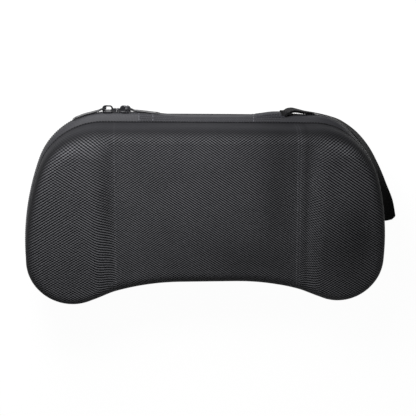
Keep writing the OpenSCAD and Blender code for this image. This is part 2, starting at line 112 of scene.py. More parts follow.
# The same outline, set in by d, for the shells and further out for the zip
def outlineAt(out, rise, corner, d, steps):
    c = caseShape
    half = halfOutline(c["halfWidth"] + out - d, c["topY"] + rise - d, corner - d, c["sideR"] + out - d,
                       c["lobeR"] + out - d, c["archDrop"] + out - d, c["archR"] - out + d, steps)
    return np.vstack([half, half[-2:0:-1] * [-1, 1]])


def pulledIn(line, pulls):
    shift = 0
    for pull in pulls:
        far = np.linalg.norm(line - np.array(pull["at"]), axis=1) / pull["reach"]
        shift = shift + np.exp(-far * far)[:, None] * np.array(pull["by"])
    return line - shift


def caseOutline(d, steps=fineSteps):
    return pulledIn(outlineAt(0, 0, caseShape["cornerR"], d, steps), casePull)


def hingeDip(x):
    z = zipShape
    return z["dip"] * (1 - smooth(z["hingeHalf"] / 3, z["hingeHalf"], np.abs(x)))


def zipLine(d, steps=fineSteps, pressed=True):
    z = zipShape
    line = outlineAt(z["out"], z["rise"], z["cornerR"], d, steps)
    onTop = (line[:, 1] > 0) & (np.abs(line[:, 0]) < z["hingeHalf"])
    line[:, 1] -= np.where(onTop, hingeDip(line[:, 0]), 0)
    return pulledIn(line, casePull + bandPull * pressed)


pointCount = len(caseOutline(0))
stripEnd = fineSteps["strip"]
softEnd = stripEnd + fineSteps["shoulder"] + fineSteps["corner"] // 4
leftSoftEnd, leftStripEnd = pointCount - softEnd, pointCount - stripEnd


# A piece is rings of points in millimetres, each closed, joined one to the next
def ringPiece(name, rings, materials, angle=40, uv=None, ends="flat", rowMaterial=None):
    rings = np.asarray(rings)
    rows, cols = rings.shape[:2]
    rowMaterial = rowMaterial or [0] * rows
    verts = [tuple(p) for p in rings.reshape(-1, 3) / 1000]
    faces, corners, slots = [], [], []
    for r in range(rows if ends == "joined" else rows - 1):
        for c in range(cols):
            r1, c1 = (r + 1) % rows, (c + 1) % cols
            faces.append((r * cols + c, r * cols + c1, r1 * cols + c1, r1 * cols + c))
            corners.append(((r, c), (r, c + 1), (r + 1, c + 1), (r + 1, c)))
            slots.append(rowMaterial[r])
    for row in (0, rows - 1) if ends == "fan" else ():
        verts.append(tuple(rings[row].mean(0) / 1000))
        for c in range(cols):
            faces.append((row * cols + c, row * cols + (c + 1) % cols, len(verts) - 1))
            corners.append(((row, c), (row, c + 1), None))
            slots.append(rowMaterial[-1 if row else 0])
    for row in (0, rows - 1) if ends == "flat" else ():
        faces.append(tuple(row * cols + c for c in range(cols)))
        corners.append(tuple((row, c) for c in range(cols)))
        slots.append(0)
    mesh = bpy.data.meshes.new(name)
    mesh.from_pydata(verts, [], faces)
    mesh.polygons.foreach_set("material_index", slots)
    if uv is not None:
        places = [(0.0, 0.0) if rc is None else uv[rc] for corner in corners for rc in corner]
        mesh.uv_layers.new(name="cloth").data.foreach_set("uv", np.array(places, np.float32).ravel())
    bm = bmesh.new()
    bm.from_mesh(mesh)
    bmesh.ops.recalc_face_normals(bm, faces=bm.faces)
    bm.to_mesh(mesh)
    bm.free()
    mesh.shade_smooth()
    mesh.set_sharp_from_angle(angle=math.radians(angle))
    for material in materials:
        mesh.materials.append(material)
    return placed(bpy.data.objects.new(name, mesh))


def placed(obj):
    bpy.context.scene.collection.objects.link(obj)
    return obj


# Rings set along a line: the cloth's map runs round the ring first and along the line second
def sweptPiece(name, rings, along, lastSide, cloth):
    around = lengths(np.array(rings[0]))
    uv = np.stack(np.meshgrid(np.append(around, around[-1] + lastSide), along), axis=-1)
    return ringPiece(name, rings, [cloth], 60, uv)


# Section of flat webbing, from -1 to 1 both ways, with soft edges
def flatRing(corner, flat, middle):
    half = [(-1, 0), (-corner, -0.7), (-flat, -1), (-middle, -1), (0, -1), (middle, -1), (flat, -1),
            (corner, -0.7)]
    return half + [(-a, -b) for a, b in half]


def wrapUv(u):
    return np.concatenate([u, u[:, :1]], axis=1)


def settle(obj):
    bpy.context.view_layer.update()
    graph = bpy.context.evaluated_depsgraph_get()
    mesh = bpy.data.meshes.new_from_object(obj.evaluated_get(graph))
    obj.modifiers.clear()
    obj.data = mesh


def paint(obj, name, values):
    attribute = obj.data.attributes.new(name, "FLOAT", "POINT")
    padded = np.zeros(len(obj.data.vertices), np.float32)
    padded[:len(values)] = values
    attribute.data.foreach_set("value", padded)


def bendWithLid(piece):
    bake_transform(piece)


# A piece with a body is attached to it; one without has its placing baked into its mesh
def dress(piece, node=None, body=None):
    if node:
        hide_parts(node)
    if body:
        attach(piece, body)
    else:
        bendWithLid(piece)


def linear(code):
    rgb = [int(code[i:i + 2], 16) / 255 for i in (0, 2, 4)]
    return (*[c / 12.92 if c <= 0.04045 else ((c + 0.055) / 1.055) ** 2.4 for c in rgb], 1.0)


def addNode(tree, kind, settings=None, links=None):
    node = tree.nodes.new(kind)
    for key, value in (settings or {}).items():
        if isinstance(key, int) or (key in node.inputs and not hasattr(node, key)):
            node.inputs[key].default_value = value
        else:
            setattr(node, key, value)
    for key, source in (links or {}).items():
        tree.links.new(source.outputs[0] if hasattr(source, "outputs") else source, node.inputs[key])
    return node


def newMaterial(name):
    material = bpy.data.materials.new(name)
    material.use_nodes = True
    material.node_tree.nodes.clear()
    return material, functools.partial(addNode, material.node_tree)


# Both weaves start from the number of threads along the cloth's two directions
def threadCounts(name, inputs, outputs):
    group = bpy.data.node_groups.new(name, "ShaderNodeTree")
    spacings = ("Warp spacing", "Weft spacing")
    group.interface.new_socket("Vector", in_out="INPUT", socket_type="NodeSocketVector")
    for way, labels in (("INPUT", spacings + inputs), ("OUTPUT", outputs)):
        for label in labels:
            group.interface.new_socket(label, in_out=way, socket_type="NodeSocketFloat")
    add = functools.partial(addNode, group)
    into = add("NodeGroupInput")
    parts = add("ShaderNodeSeparateXYZ", links={0: into.outputs["Vector"]})
    turns = [add("ShaderNodeMath", {"operation": "DIVIDE"}, {0: parts.outputs[axis], 1: into.outputs[label]})
             for axis, label in enumerate(spacings)]
    return group, add, into, turns


# Plain weave: the two sets of threads pass over and under each other in turn
def weaveGroup():
    group, add, into, turns = threadCounts("plainWeave", (), ("Height", "Over"))
    waves, sides = [], []
    for turn in turns:
        angle = add("ShaderNodeMath", {"operation": "MULTIPLY", 1: math.pi}, {0: turn})
        waves.append(add("ShaderNodeMath", {"operation": "SINE"}, {0: angle}))
    both = add("ShaderNodeMath", {"operation": "MULTIPLY"}, {0: waves[0], 1: waves[1]})
    half = add("ShaderNodeMath", {"operation": "MULTIPLY", 1: 0.5}, {0: both})
    for wave, sign in zip(waves, ("ADD", "SUBTRACT")):
        size = add("ShaderNodeMath", {"operation": "ABSOLUTE"}, {0: wave})
        share = add("ShaderNodeMath", {"operation": "MULTIPLY", 1: 0.5}, {0: size})
        sides.append(add("ShaderNodeMath", {"operation": sign}, {0: share, 1: half}))
    height = add("ShaderNodeMath", {"operation": "MAXIMUM"}, {0: sides[0], 1: sides[1]})
    over = add("ShaderNodeMapRange", {"From Min": -0.25, "From Max": 0.25}, {"Value": both})
    add("NodeGroupOutput", links={"Height": height, "Over": over})
    return group


# Basket weave as the eye sees it from afar: two sets of diagonal rows, of which the light picks out one
def basketGroup():
    group, add, into, turns = threadCounts("basketRows", ("Lean",), ("Height",))
    rising = add("ShaderNodeMapRange", {"From Min": -1.0, "From Max": 1.0}, {"Value": into.outputs["Lean"]})
    falling = add("ShaderNodeMath", {"operation": "SUBTRACT", 0: 1.0}, {1: rising})
    shown = []
    for sign, share in (("SUBTRACT", rising), ("ADD", falling)):
        phase = add("ShaderNodeMath", {"operation": sign}, {0: turns[0], 1: turns[1]})
        angle = add("ShaderNodeMath", {"operation": "MULTIPLY", 1: math.pi}, {0: phase})
        row = add("ShaderNodeMath", {"operation": "COSINE"}, {0: angle})
        shown.append(add("ShaderNodeMath", {"operation": "MULTIPLY"}, {0: row, 1: share}))
    both = add("ShaderNodeMath", {"operation": "SUBTRACT"}, {0: shown[0], 1: shown[1]})
    height = add("ShaderNodeMapRange", {"From Min": -1.0, "From Max": 1.0}, {"Value": both})
    add("NodeGroupOutput", links={"Height": height})
    return group


plainWeave, basketRows = weaveGroup(), basketGroup()
# What a cloth has unless it says otherwise; thread spacings are in millimetres
usualCloth = {
    "turn": 0, "slack": 90.0, "wobble": 0.25, "gapLow": 0.25, "gapHigh": 0.8, "patchScale": 14.0,
    "patch": 0.12, "bump": 0.6, "bumpHeight": 0.0004, "roughness": 0.75, "specular": 0.25, "sheen": 0.08,
}


# Woven cloth: threads and dark gaps, slow patches of dye and dust, any painted shade the threads bring, and a
# relief that pressing flattens
def clothMaterial(name, look, drawThreads):
    look = {**usualCloth, **look}
    look.update({key: linear(value) for key, value in look.items() if key.endswith("Colour")})
    material, add = newMaterial(name)
    spot = add("ShaderNodeTexCoord").outputs["Object"]
    place = add("ShaderNodeUVMap", {"uv_map": "cloth"})
    turned = add("ShaderNodeMapping", {"Rotation": (0, 0, math.radians(look["turn"]))}, {"Vector": place})
    slack = add("ShaderNodeTexNoise", {"Scale": look["slack"], "Detail": 2.0}, {"Vector": spot})
    loose = {"operation": "SCALE", "Scale": look["wobble"]}
    shift = add("ShaderNodeVectorMath", loose, {0: slack.outputs["Color"]})
    bent = add("ShaderNodeVectorMath", {"operation": "ADD"}, {0: turned, 1: shift})
    pressed = add("ShaderNodeAttribute", {"attribute_name": "pressed"}).outputs["Fac"]
    grain = {"Scale": look["patchScale"], "Detail": 4.0, "Roughness": 0.6}
    patches = add("ShaderNodeTexNoise", grain, {"Vector": spot})
    dust = {"From Min": 0.3, "From Max": 0.7, "To Min": 1 - look["patch"], "To Max": 1 + look["patch"]}
    light = add("ShaderNodeMapRange", dust, {"Value": patches.outputs[0]})
    colour, shade, height = drawThreads(add, look, bent, spot, pressed, light)
    # Colour scaled by the dust patches and, on the shells, by the painted light and shade
    dustAndPaintedShade = add("ShaderNodeVectorMath", {"operation": "SCALE"}, {0: colour, "Scale": shade})
    flatter = add("ShaderNodeMath", {"operation": "SUBTRACT", 0: 1.0}, {1: pressed})
    raised = add("ShaderNodeMath", {"operation": "MULTIPLY"}, {0: height, 1: flatter})
    tall = {"Strength": look["bump"], "Distance": look["bumpHeight"]}
    bump = add("ShaderNodeBump", tall, {"Height": raised})
    finish = {"Roughness": look["roughness"], "Specular IOR Level": look["specular"],
              "Sheen Weight": look["sheen"], "Sheen Roughness": 0.4}
    shader = add("ShaderNodeBsdfPrincipled", finish, {"Base Color": dustAndPaintedShade, "Normal": bump})
    add("ShaderNodeOutputMaterial", links={"Surface": shader})
    return material


def plainThreads(add, look, bent, spot, pressed, light):
    threads = {"node_tree": plainWeave, "Warp spacing": look["warp"], "Weft spacing": look["weft"]}
    weave = add("ShaderNodeGroup", threads, {"Vector": bent}).outputs
    dyes = {"data_type": "RGBA", 6: look["weftColour"], 7: look["warpColour"]}
    colour = add("ShaderNodeMix", dyes, {0: weave["Over"]}).outputs[2]
    gap = {"From Min": look["gapLow"], "From Max": look["gapHigh"]}
    depth = add("ShaderNodeMapRange", gap, {"Value": weave["Height"]})
    colour = add("ShaderNodeMix", {"data_type": "RGBA", 6: look["gapColour"]}, {0: depth, 7: colour})
    calm = {"data_type": "RGBA", 7: look["weftColour"]}
    colour = add("ShaderNodeMix", calm, {0: pressed, 6: colour.outputs[2]})
    return colour.outputs[2], light, weave["Height"]


def shellThreads(add, look, bent, spot, pressed, light):
    leaning, seam, valley = [add("ShaderNodeAttribute", {"attribute_name": name}).outputs["Fac"]
                             for name in ("lean", "seam", "valley")]
    drift = add("ShaderNodeTexNoise", {"Scale": 42.0, "Detail": 2.0}, {"Vector": spot})
    mixed = {"From Min": 0.25, "From Max": 0.75, "To Min": -look["mixed"], "To Max": look["mixed"]}
    turned = add("ShaderNodeMapRange", mixed, {"Value": drift.outputs[0]})
    lean = add("ShaderNodeMath", {"operation": "ADD"}, {0: leaning, 1: turned})
    threads = {"node_tree": basketRows, "Warp spacing": look["warp"], "Weft spacing": look["weft"]}
    weave = add("ShaderNodeGroup", threads, {"Vector": bent, "Lean": lean})
    gap = {"interpolation_type": "SMOOTHSTEP", "From Min": look["gapLow"], "From Max": look["gapHigh"]}
    depth = add("ShaderNodeMapRange", gap, {"Value": weave})
    uneven = add("ShaderNodeTexNoise", {"Scale": 700.0, "Detail": 2.0}, {"Vector": spot})
    dyes = {"data_type": "RGBA", 6: look["threadColour"], 7: look["brightColour"]}
    colour = add("ShaderNodeMix", dyes, {0: uneven.outputs[0]}).outputs[2]
    colour = add("ShaderNodeMix", {"data_type": "RGBA", 6: look["gapColour"]}, {0: depth, 7: colour})
    # The pressed cloth takes its calmer colour, and a painted shadow darkens the seam line nearly to black
    for share, cover in ((pressed, "pressColour"), (seam, "seamColour")):
        colour = add("ShaderNodeMix", {"data_type": "RGBA", 7: look[cover]}, {0: share, 6: colour.outputs[2]})
    # Painted shade: darker where the attribute is painted, down to the given factor, and lighter where it is
    # below nought
    paintedShadeRange = {"To Min": 1.0, "To Max": look["valley"], "clamp": False}
    paintedShadeFactor = add("ShaderNodeMapRange", paintedShadeRange, {"Value": valley})
    shade = add("ShaderNodeMath", {"operation": "MULTIPLY"}, {0: light, 1: paintedShadeFactor})
    here = add("ShaderNodeSeparateXYZ", links={0: spot}).outputs
    # Painted highlights and shade along the fold lines over the humps
    for x, slant, wide, brighter in look["folds"]:
        upright = add("ShaderNodeMath", {"operation": "MULTIPLY_ADD", 1: slant}, {0: here[1], 2: here[0]})
        off = add("ShaderNodeMath", {"operation": "SUBTRACT", 1: x / 1000}, {0: upright})
        far = add("ShaderNodeMath", {"operation": "ABSOLUTE"}, {0: off})
        crest = {"interpolation_type": "SMOOTHSTEP", "From Max": wide / 1000, "To Min": brighter}
        foldLight = add("ShaderNodeMapRange", crest, {"Value": far})
        shade = add("ShaderNodeMath", {"operation": "MULTIPLY"}, {0: shade, 1: foldLight})
    return colour.outputs[2], shade, depth


# Ballistic nylon, dyed black and bonded to foam: coarse threads, bright where they float, dark between.
# Painted light and shade along the folds over the humps: each line is given by its x, its slant, its half
# width in millimetres and its brightness.
shellCloth = clothMaterial("wovenBallisticNylon", {
    "warp": 1.55, "weft": 1.09, "gapLow": 0.36, "gapHigh": 0.7, "threadColour": "515255",
    "brightColour": "7c7c80", "gapColour": "121215", "pressColour": "28282b", "seamColour": "070708",
    "valley": 0.56, "patch": 0.08, "patchScale": 16.0, "mixed": 0.5, "slack": 60.0, "wobble": 0.06,
    "bump": 0.5, "bumpHeight": 0.00025, "specular": 0.12, "sheen": 0.0,
    "folds": [(73.9, 0.055, 0.8, 1.55), (76.4, 0.055, 0.8, 1.45), (81.5, 0.055, 3.0, 0.8),
              (-79.5, 0, 0.9, 1.3)],
}, shellThreads)
# Brushed polyester lining: a soft, matt pile whose weave hardly shows
liningCloth = clothMaterial("brushedPolyesterLining", {
    "warp": 0.7, "weft": 0.7, "warpColour": "4a4a4e", "weftColour": "424246", "gapColour": "303034",
    "patch": 0.18, "patchScale": 60.0, "bump": 0.3, "sheen": 0.35, "specular": 0.1,
    "roughness": 0.95}, plainThreads)
# Zip tape of polyester with a coating: close woven, dark grey and slightly shiny
zipCloth = clothMaterial("coatedPolyesterZipTape", {
    "warp": 1.2, "weft": 0.7, "warpColour": "47474b", "weftColour": "404044", "gapColour": "303033",
    "patch": 0.1, "bump": 0.25, "bumpHeight": 0.0002, "roughness": 0.55, "sheen": 0.02,
    "wobble": 0.1}, plainThreads)
# Woven hinge fabric: matt, and more open than the tape, so its threads show
hingeCloth = clothMaterial("wovenHingeFabric", {
    "warp": 1.0, "weft": 1.3, "warpColour": "4e4e52", "weftColour": "424246", "gapColour": "28282b",
    "bump": 0.5, "bumpHeight": 0.00025, "wobble": 0.15}, plainThreads)
# Grosgrain binding inside each shell: fine ribs across the tape
bindingCloth = clothMaterial("grosgrainBinding", {
    "warp": 0.6, "weft": 1.2, "warpColour": "2c2c2f", "weftColour": "242427",
    "gapColour": "151517"}, plainThreads)
# Polypropylene webbing of the wrist strap: very dark, ribbed across
webbingCloth = clothMaterial("polypropyleneWebbing", {
    "warp": 1.0, "weft": 1.6, "warpColour": "18181a", "weftColour": "212123", "gapColour": "0a0a0b",
    "bump": 0.7, "bumpHeight": 0.0003, "specular": 0.15, "sheen": 0.0, "roughness": 0.7}, plainThreads)
# Softer webbing of the sewn patch, greyed by wear
patchCloth = clothMaterial("wornWebbingPatch", {
    "warp": 1.0, "weft": 1.4, "warpColour": "4c4c51", "weftColour": "3f3f44", "gapColour": "232327",
    "bump": 0.5, "bumpHeight": 0.00025, "specular": 0.2}, plainThreads)
# Knitted elastic with rubber cores: long ribs
elasticCloth = clothMaterial("ribbedElastic", {
    "warp": 1.5, "weft": 0.8, "warpColour": "2b2b2e", "weftColour": "38383c", "gapColour": "141416",
    "bump": 0.8}, plainThreads)
# Warp-knitted net: dark holes between light threads, drawn at 2.4 mm, coarser than real, so that it shows
netCloth = clothMaterial("knittedNet", {
    "warp": 2.4, "weft": 2.4, "turn": 45, "warpColour": "34343a", "weftColour": "34343a",
    "gapColour": "0e0e10", "gapLow": 0.3, "gapHigh": 0.55, "bump": 0.9}, plainThreads)


# Threads and mouldings: two shades mixed by a fine grain
def grainedMaterial(name, dark, light, grain, finish):
    material, add = newMaterial(name)
    spot = add("ShaderNodeTexCoord").outputs["Object"]
    speckle = add("ShaderNodeTexNoise", grain, {"Vector": spot})
    shades = {"data_type": "RGBA", 6: linear(dark), 7: linear(light)}
    colour = add("ShaderNodeMix", shades, {0: speckle.outputs[0]})
    shader = add("ShaderNodeBsdfPrincipled", finish, {"Base Color": colour.outputs[2]})
    add("ShaderNodeOutputMaterial", links={"Surface": shader})
    return material


# Polyester sewing thread: twisted, with a slight gloss
threadGrain, threadFinish = {"Scale": 900.0}, {"Roughness": 0.55, "Specular IOR Level": 0.3}
sewingThread = grainedMaterial("blackPolyesterThread", "060607", "19191c", threadGrain, threadFinish)
hingeThread = grainedMaterial("greyPolyesterThread", "5c5c62", "7c7c82", threadGrain, threadFinish)
# Nylon monofilament coil: moulded smooth, satin black
nylonCoil = grainedMaterial("nylonZipCoil", "202024", "35353b", {"Scale": 160.0, "Detail": 3.0},
                            {"Roughness": 0.38, "IOR": 1.53})


# Die-cast zinc with black enamel: glossy, and bright metal where hands and the tape rub it
def enamelMaterial():
    material, add = newMaterial("blackEnamelledZinc")
    spot = add("ShaderNodeTexCoord").outputs["Object"]
    scratches = {"Scale": 420.0, "Detail": 4.0, "Roughness": 0.7}
    rub = add("ShaderNodeTexNoise", scratches, {"Vector": spot}).outputs[0]
    edge = add("ShaderNodeAttribute", {"attribute_name": "rubbed"})
    total = add("ShaderNodeMath", {"operation": "MULTIPLY"}, {0: edge.outputs["Fac"], 1: rub})
    worn = add("ShaderNodeMapRange", {"From Min": 0.3, "From Max": 0.5}, {"Value": total})
    colour = add("ShaderNodeMix", {"data_type": "RGBA", 6: linear("28282b"), 7: linear("b8b8bc")}, {0: worn})
    gloss = add("ShaderNodeMapRange", {"To Min": 0.32, "To Max": 0.22}, {"Value": rub})
    finish = {"Base Color": colour.outputs[2], "Metallic": worn, "Roughness": gloss}
    shader = add("ShaderNodeBsdfPrincipled", links=finish)
    add("ShaderNodeOutputMaterial", links={"Surface": shader})
    return material


enamel = enamelMaterial()
print("materials made")

# Shells: a rounded lip at the seam, a drafted wall, a rounded edge and a face, lined inside.
# Creases are given by x, width and depth; painted shading spots and leans by their middle, reach both ways
# and amount.
shellLook = {
    "lipR": 1.3, "lipRings": 4, "wallRings": 9, "edgeRings": 14, "faceRings": (76, 30), "waviness": 0.12,
    # The painted shade's place and width in the turn of the edge, and the height over which the seam's
    # painted shadow fades
    "calmTop": 0.3, "pressed": 0.88, "pressedTo": 0.55, "liningPressed": 0.4, "seamShadowTall": (1.4, 2.8),
    "valley": (0.74, 0.27), "stretchX": 0.13, "stretchY": 0.09, "stretchFrom": 37, "usualLean": -0.12,
    "creases": [(71, 4, 0.35), (84, 3.6, 0.6), (-83, 4, 0.25)],
    "paintedShadingSpots": [(-86.5, 13, 7, 45, 0.55), (54.5, 20, 12, 60, 0.6), (28, -40, 34, 18, 0.5),
                (128, -20, 17, 36, 0.85), (103, -36, 16, 18, 0.4), (-8, 56, 42, 13, -0.5),
                (112, 38, 9, 26, -0.4)],
    "leans": [(-140, 0, 26, 60, 0.5), (-95, -20, 14, 60, -0.5), (15, 10, 40, 50, -0.4),
              (85, -5, 24, 45, -0.25), (60, 66, 70, 14, 0.5), (104, -50, 12, 30, 0.6),
              (125, 20, 18, 26, -0.4)],
}


def shellSizes(front):
    c = caseShape
    return (1, c["frontDepth"], c["frontEdgeR"]) if front else (-1, c["rearDepth"], c["rearEdgeR"])


def wallProfile(straight, edgeR, shellT, rings, lip):
    tilt = math.tan(math.radians(caseShape["draft"]))
    rows = []
    for a in np.radians(np.linspace(0, 90, shellLook["lipRings"] + 1)[:-1] if lip else []):
        rows.append((lip - lip * math.sin(a), lip - lip * math.cos(a)))
    rows += [(shellT + h * tilt, h) for h in np.linspace(lip, straight, rings)]
    r = edgeR - shellT
    for a in np.radians(90 * np.arange(1, shellLook["edgeRings"] + 1) / shellLook["edgeRings"]):
        rows.append((straight * tilt + edgeR - r * math.cos(a), straight + r * math.sin(a)))
    return np.array(rows)


# How far the front face stands above its flat panel: humps for the grips, less the creases
def relief(x, y):
    c = caseShape
    full = c["panelHalf"] + c["humpSlope"]
    crease = sum(deep * np.exp(-((x - at) / wide) ** 2) for at, wide, deep in shellLook["creases"])
    hump = c["humpRise"] * smooth(c["panelHalf"], full, np.abs(x))
    hump = hump * (1 - c["humpFall"] * smooth(full, c["halfWidth"], np.abs(x)))
    return (hump - crease) * (1 - smooth(c["topY"] - c["humpStart"], c["topY"] - c["humpEnd"], y))


# Cloth glued over foam is never quite flat: one slow swell and a quicker one of half its height
def waviness(p):
    x, y, z = p[..., 0], p[..., 1], p[..., 2]
    slow = np.sin(x / 17 + y / 29) * np.sin(y / 13 - z / 9 + 1.3)
    quick = np.sin(x / 7.3 + 2) * np.sin(y / 6.1 + z / 5)
    return shellLook["waviness"] * (slow + 0.5 * quick)


def shellRings(front, shellT):
    c, look, outer = caseShape, shellLook, shellT == 0
    sign, depth, edgeR = shellSizes(front)
    straight = depth - c["seamHalf"] - edgeR
    profile = wallProfile(straight, edgeR, shellT, look["wallRings"], look["lipR"] if outer else 0)
    developed = lengths(profile)
    edge = profile[-1][0]
    points, uv, press = [], [], []
    for (d, h), t in zip(profile, developed[-1] - developed):
        line = caseOutline(d)
        weight = smooth(straight - 2, depth - c["seamHalf"], h) if front else 0
        z = partZ + sign * (c["seamHalf"] + h) + weight * relief(line[:, 0], line[:, 1])
        points.append(atHeight(line, z))
        uv.append(caseOutline(edge - t))
        taut = look["pressed"] * (1 - smooth(straight + look["pressedTo"] * edgeR, straight + edgeR, h))
        press.append(np.full(len(line), taut if outer else look["liningPressed"]))
    inner = caseOutline(edge)
    for s in np.linspace(1, 0.02, look["faceRings"][0 if outer and front else 1])[1:]:
        flat = inner * s
        z = partZ + sign * (depth - shellT) + (relief(flat[:, 0], flat[:, 1]) if front else 0)
        points.append(atHeight(flat, z))
        uv.append(flat)
        press.append(look["calmTop"] * smooth(15, 72, flat[:, 1]) * (front and outer))
    return np.array(points), np.array(uv), np.array(press)


# Over the humps the moulded cloth is stretched, about a line near the hinge
def stretched(uv):
    c, look, x, y = caseShape, shellLook, uv[..., 0], uv[..., 1]
    share = smooth(c["panelHalf"], c["panelHalf"] + c["humpSlope"], np.abs(x))
    beyond = np.maximum(0, np.abs(x) - c["panelHalf"] - c["humpSlope"] / 2)
    y = look["stretchFrom"] + (y - look["stretchFrom"]) * (1 - look["stretchY"] * share)
    return np.stack([x - np.sign(x) * beyond * look["stretchX"], y], axis=-1)


def softSpots(points, spots):
    x, y = points[..., 0], points[..., 1]
    return sum(amount * np.exp(-((x - cx) / wide) ** 2 - ((y - cy) / tall) ** 2)
               for cx, cy, wide, tall, amount in spots)


def makeShell(name, node, front, body):
    look = shellLook
    outside, uvOut, pressOut = shellRings(front, 0)
    inside, uvIn, pressIn = shellRings(front, caseShape["wall"])
    fromSeam = np.abs(outside[..., 2] - partZ) - caseShape["seamHalf"]
    if front:
        outside[..., 2] -= 0.5 * look["waviness"] + 0.5 * waviness(outside) * smooth(0.5, 4, fromSeam)
    points = np.concatenate([outside[::-1], inside])
    uv = np.concatenate([wrapUv(stretched(uvOut)[::-1]), wrapUv(uvIn)])
    rowMaterial = [0] * (len(outside) - 1) + [1] * len(inside)
    piece = ringPiece(name, points, [shellCloth, liningCloth], 60, uv, "fan", rowMaterial)
    # Painted shade: the cloth is painted darker in the turn of the edge and in soft spots on the face, and
    # painted lighter where a spot's amount is below nought; a painted shadow lines the seam
    sign, depth, edgeR = shellSizes(front)
    rise = (np.abs(outside[..., 2] - partZ) - depth + edgeR) / edgeR
    valley = np.exp(-((rise - look["valley"][0]) / look["valley"][1]) ** 2)
    valley[1 - look["faceRings"][0 if front else 1]:] = 0
    if front:
        valley = valley * (0.35 + 0.65 * smooth(-40, 40, outside[..., 1]))
        valley = valley + softSpots(outside, look["paintedShadingSpots"])
    # A painted shadow along the seam, full at the lip and gone a few millimetres onto the wall
    seam = 1 - smooth(*look["seamShadowTall"], fromSeam)
    bare = 0 * pressIn
    for label, cloth, lining in (
            ("pressed", pressOut, pressIn), ("seam", seam, bare), ("valley", valley, bare)):
        paint(piece, label, np.concatenate([cloth[::-1], lining]).ravel())
    # From -1 to 1: which of the weave's two sets of rows shows, the falling or the rising one
    lean = np.clip(look["usualLean"] + softSpots(points, look["leans"]), -0.9, 0.9)
    paint(piece, "lean", lean.ravel())
    dress(piece, node, body)


makeShell("frontShell", "front_shell", True, "lid")
makeShell("rearShell", "rear_shell", False, "base")
print("shells made")

# The zip's two tapes and the hinge fabric bulge out from the seams
bandLook = {"rings": 13, "shoulder": 4.0}


def bulge(z):
    return math.sin(math.pi / 2 * min(1, (caseShape["seamHalf"] - abs(z)) / bandLook["shoulder"]))


# Outer edge of the band at height z above the middle
def bandOut(x, z):
    edge = caseShape["topY"] - zipShape["tuck"]
    return edge + (zipTop - float(hingeDip(x)) - edge) * bulge(z)


def bandPiece(name, span, heights, cloth):
    tuck, t = zipShape["tuck"], zipShape["tapeT"]
    index = np.arange(span[0], span[1] + 1) % pointCount
    lines = (zipLine(0), zipLine(t), caseOutline(tuck), caseOutline(tuck + t))
    crown, under, edge, inner = [line[index] for line in lines]
    rows = []
    for z, root, top in [(z, edge, crown) for z in heights] + [(z, inner, under) for z in heights[::-1]]:
        flat = root * (1 - bulge(z)) + top * bulge(z)
        rows.append(atHeight(flat, partZ + z))
    points = np.stack(rows, axis=1)
    across = lengths(points[len(points) // 2])
    uv = np.stack(np.meshgrid(lengths(crown), np.append(across, across[-1] + t), indexing="ij"), axis=-1)
    return ringPiece(name, points, [cloth], 50, uv)


def makeBands():
    seam, rings = caseShape["seamHalf"], bandLook["rings"]
    upper = list(np.linspace(seam, zipShape["slit"] / 2, rings))
    lower = [-z for z in upper]
    for name, node, span, heights, body, side in (
            ("rearZipTape", "rear_zip_tape", (stripEnd, leftStripEnd), lower, "base", 0),
            ("frontZipTape", "front_zip_tape", (softEnd, leftSoftEnd), upper, "lid", 0),
            ("zipEndRight", "zip_end_right", (stripEnd, softEnd), upper, None, 1),
            ("zipEndLeft", "zip_end_left", (leftSoftEnd, leftStripEnd), upper, None, -1)):
        dress(bandPiece(name, span, heights, zipCloth), node, body)
    heights = list(np.linspace(-seam, seam, 2 * rings))
    strip = bandPiece("hingeStrip", (leftStripEnd, pointCount + stripEnd), heights, hingeCloth)
    dress(strip, "hinge_strip")


makeBands()
print("zip tapes and hinge made")


# Small parts that repeat along a line, the zip's coils and the stitches, are set by one tree
def repeatTree():
    tree = bpy.data.node_groups.new("repeatAlong", "GeometryNodeTree")
    tree.interface.new_socket("Geometry", in_out="OUTPUT", socket_type="NodeSocketGeometry")
    inputs = {"Geometry": "Geometry", "Spacing": "Float", "Start": "Float", "Item": "Object",
              "Material": "Material"}
    for label, kind in inputs.items():
        tree.interface.new_socket(label, in_out="INPUT", socket_type="NodeSocket" + kind)
    add = functools.partial(addNode, tree)
    into = add("NodeGroupInput").outputs
    curve = add("GeometryNodeMeshToCurve", links={"Mesh": into["Geometry"]})
    trimmed = add("GeometryNodeTrimCurve", {"mode": "LENGTH", 5: 100.0}, {"Curve": curve, 4: into["Start"]})
    spacing = {"Curve": trimmed, "Length": into["Spacing"]}
    spaced = add("GeometryNodeResampleCurve", {"mode": "LENGTH"}, spacing)
    item = add("GeometryNodeObjectInfo", links={"Object": into["Item"]})
    along = add("GeometryNodeInputTangent")
    turn = add("FunctionNodeAlignRotationToVector", {"axis": "X", "pivot_axis": "AUTO"}, {"Vector": along})
    instances = add("GeometryNodeInstanceOnPoints",
                    links={"Points": spaced, "Instance": item.outputs["Geometry"], "Rotation": turn})
    real = add("GeometryNodeRealizeInstances", links={"Geometry": instances})
    done = add("GeometryNodeSetMaterial", links={"Geometry": real, "Material": into["Material"]})
    add("NodeGroupOutput", links={"Geometry": done})
    return tree


repeatAlong = repeatTree()


def repeated(name, line, item, spacing, start, material, closed=False):
    mesh = bpy.data.meshes.new(name)
    edges = [(i, i + 1) for i in range(len(line) - 1)] + ([(len(line) - 1, 0)] if closed else [])
    mesh.from_pydata([tuple(p / 1000) for p in line], edges, [])
    piece = placed(bpy.data.objects.new(name, mesh))
    modifier = piece.modifiers.new("repeatAlong", "NODES")
    modifier.node_group = repeatAlong
    values = {"Spacing": spacing / 1000, "Start": start / 1000, "Item": item, "Material": material}
    for socket in repeatAlong.interface.items_tree:
        if socket.in_out == "INPUT" and socket.name in values:
            modifier[socket.identifier] = values[socket.name]
    settle(piece)
    piece.data.shade_smooth()
    return piece


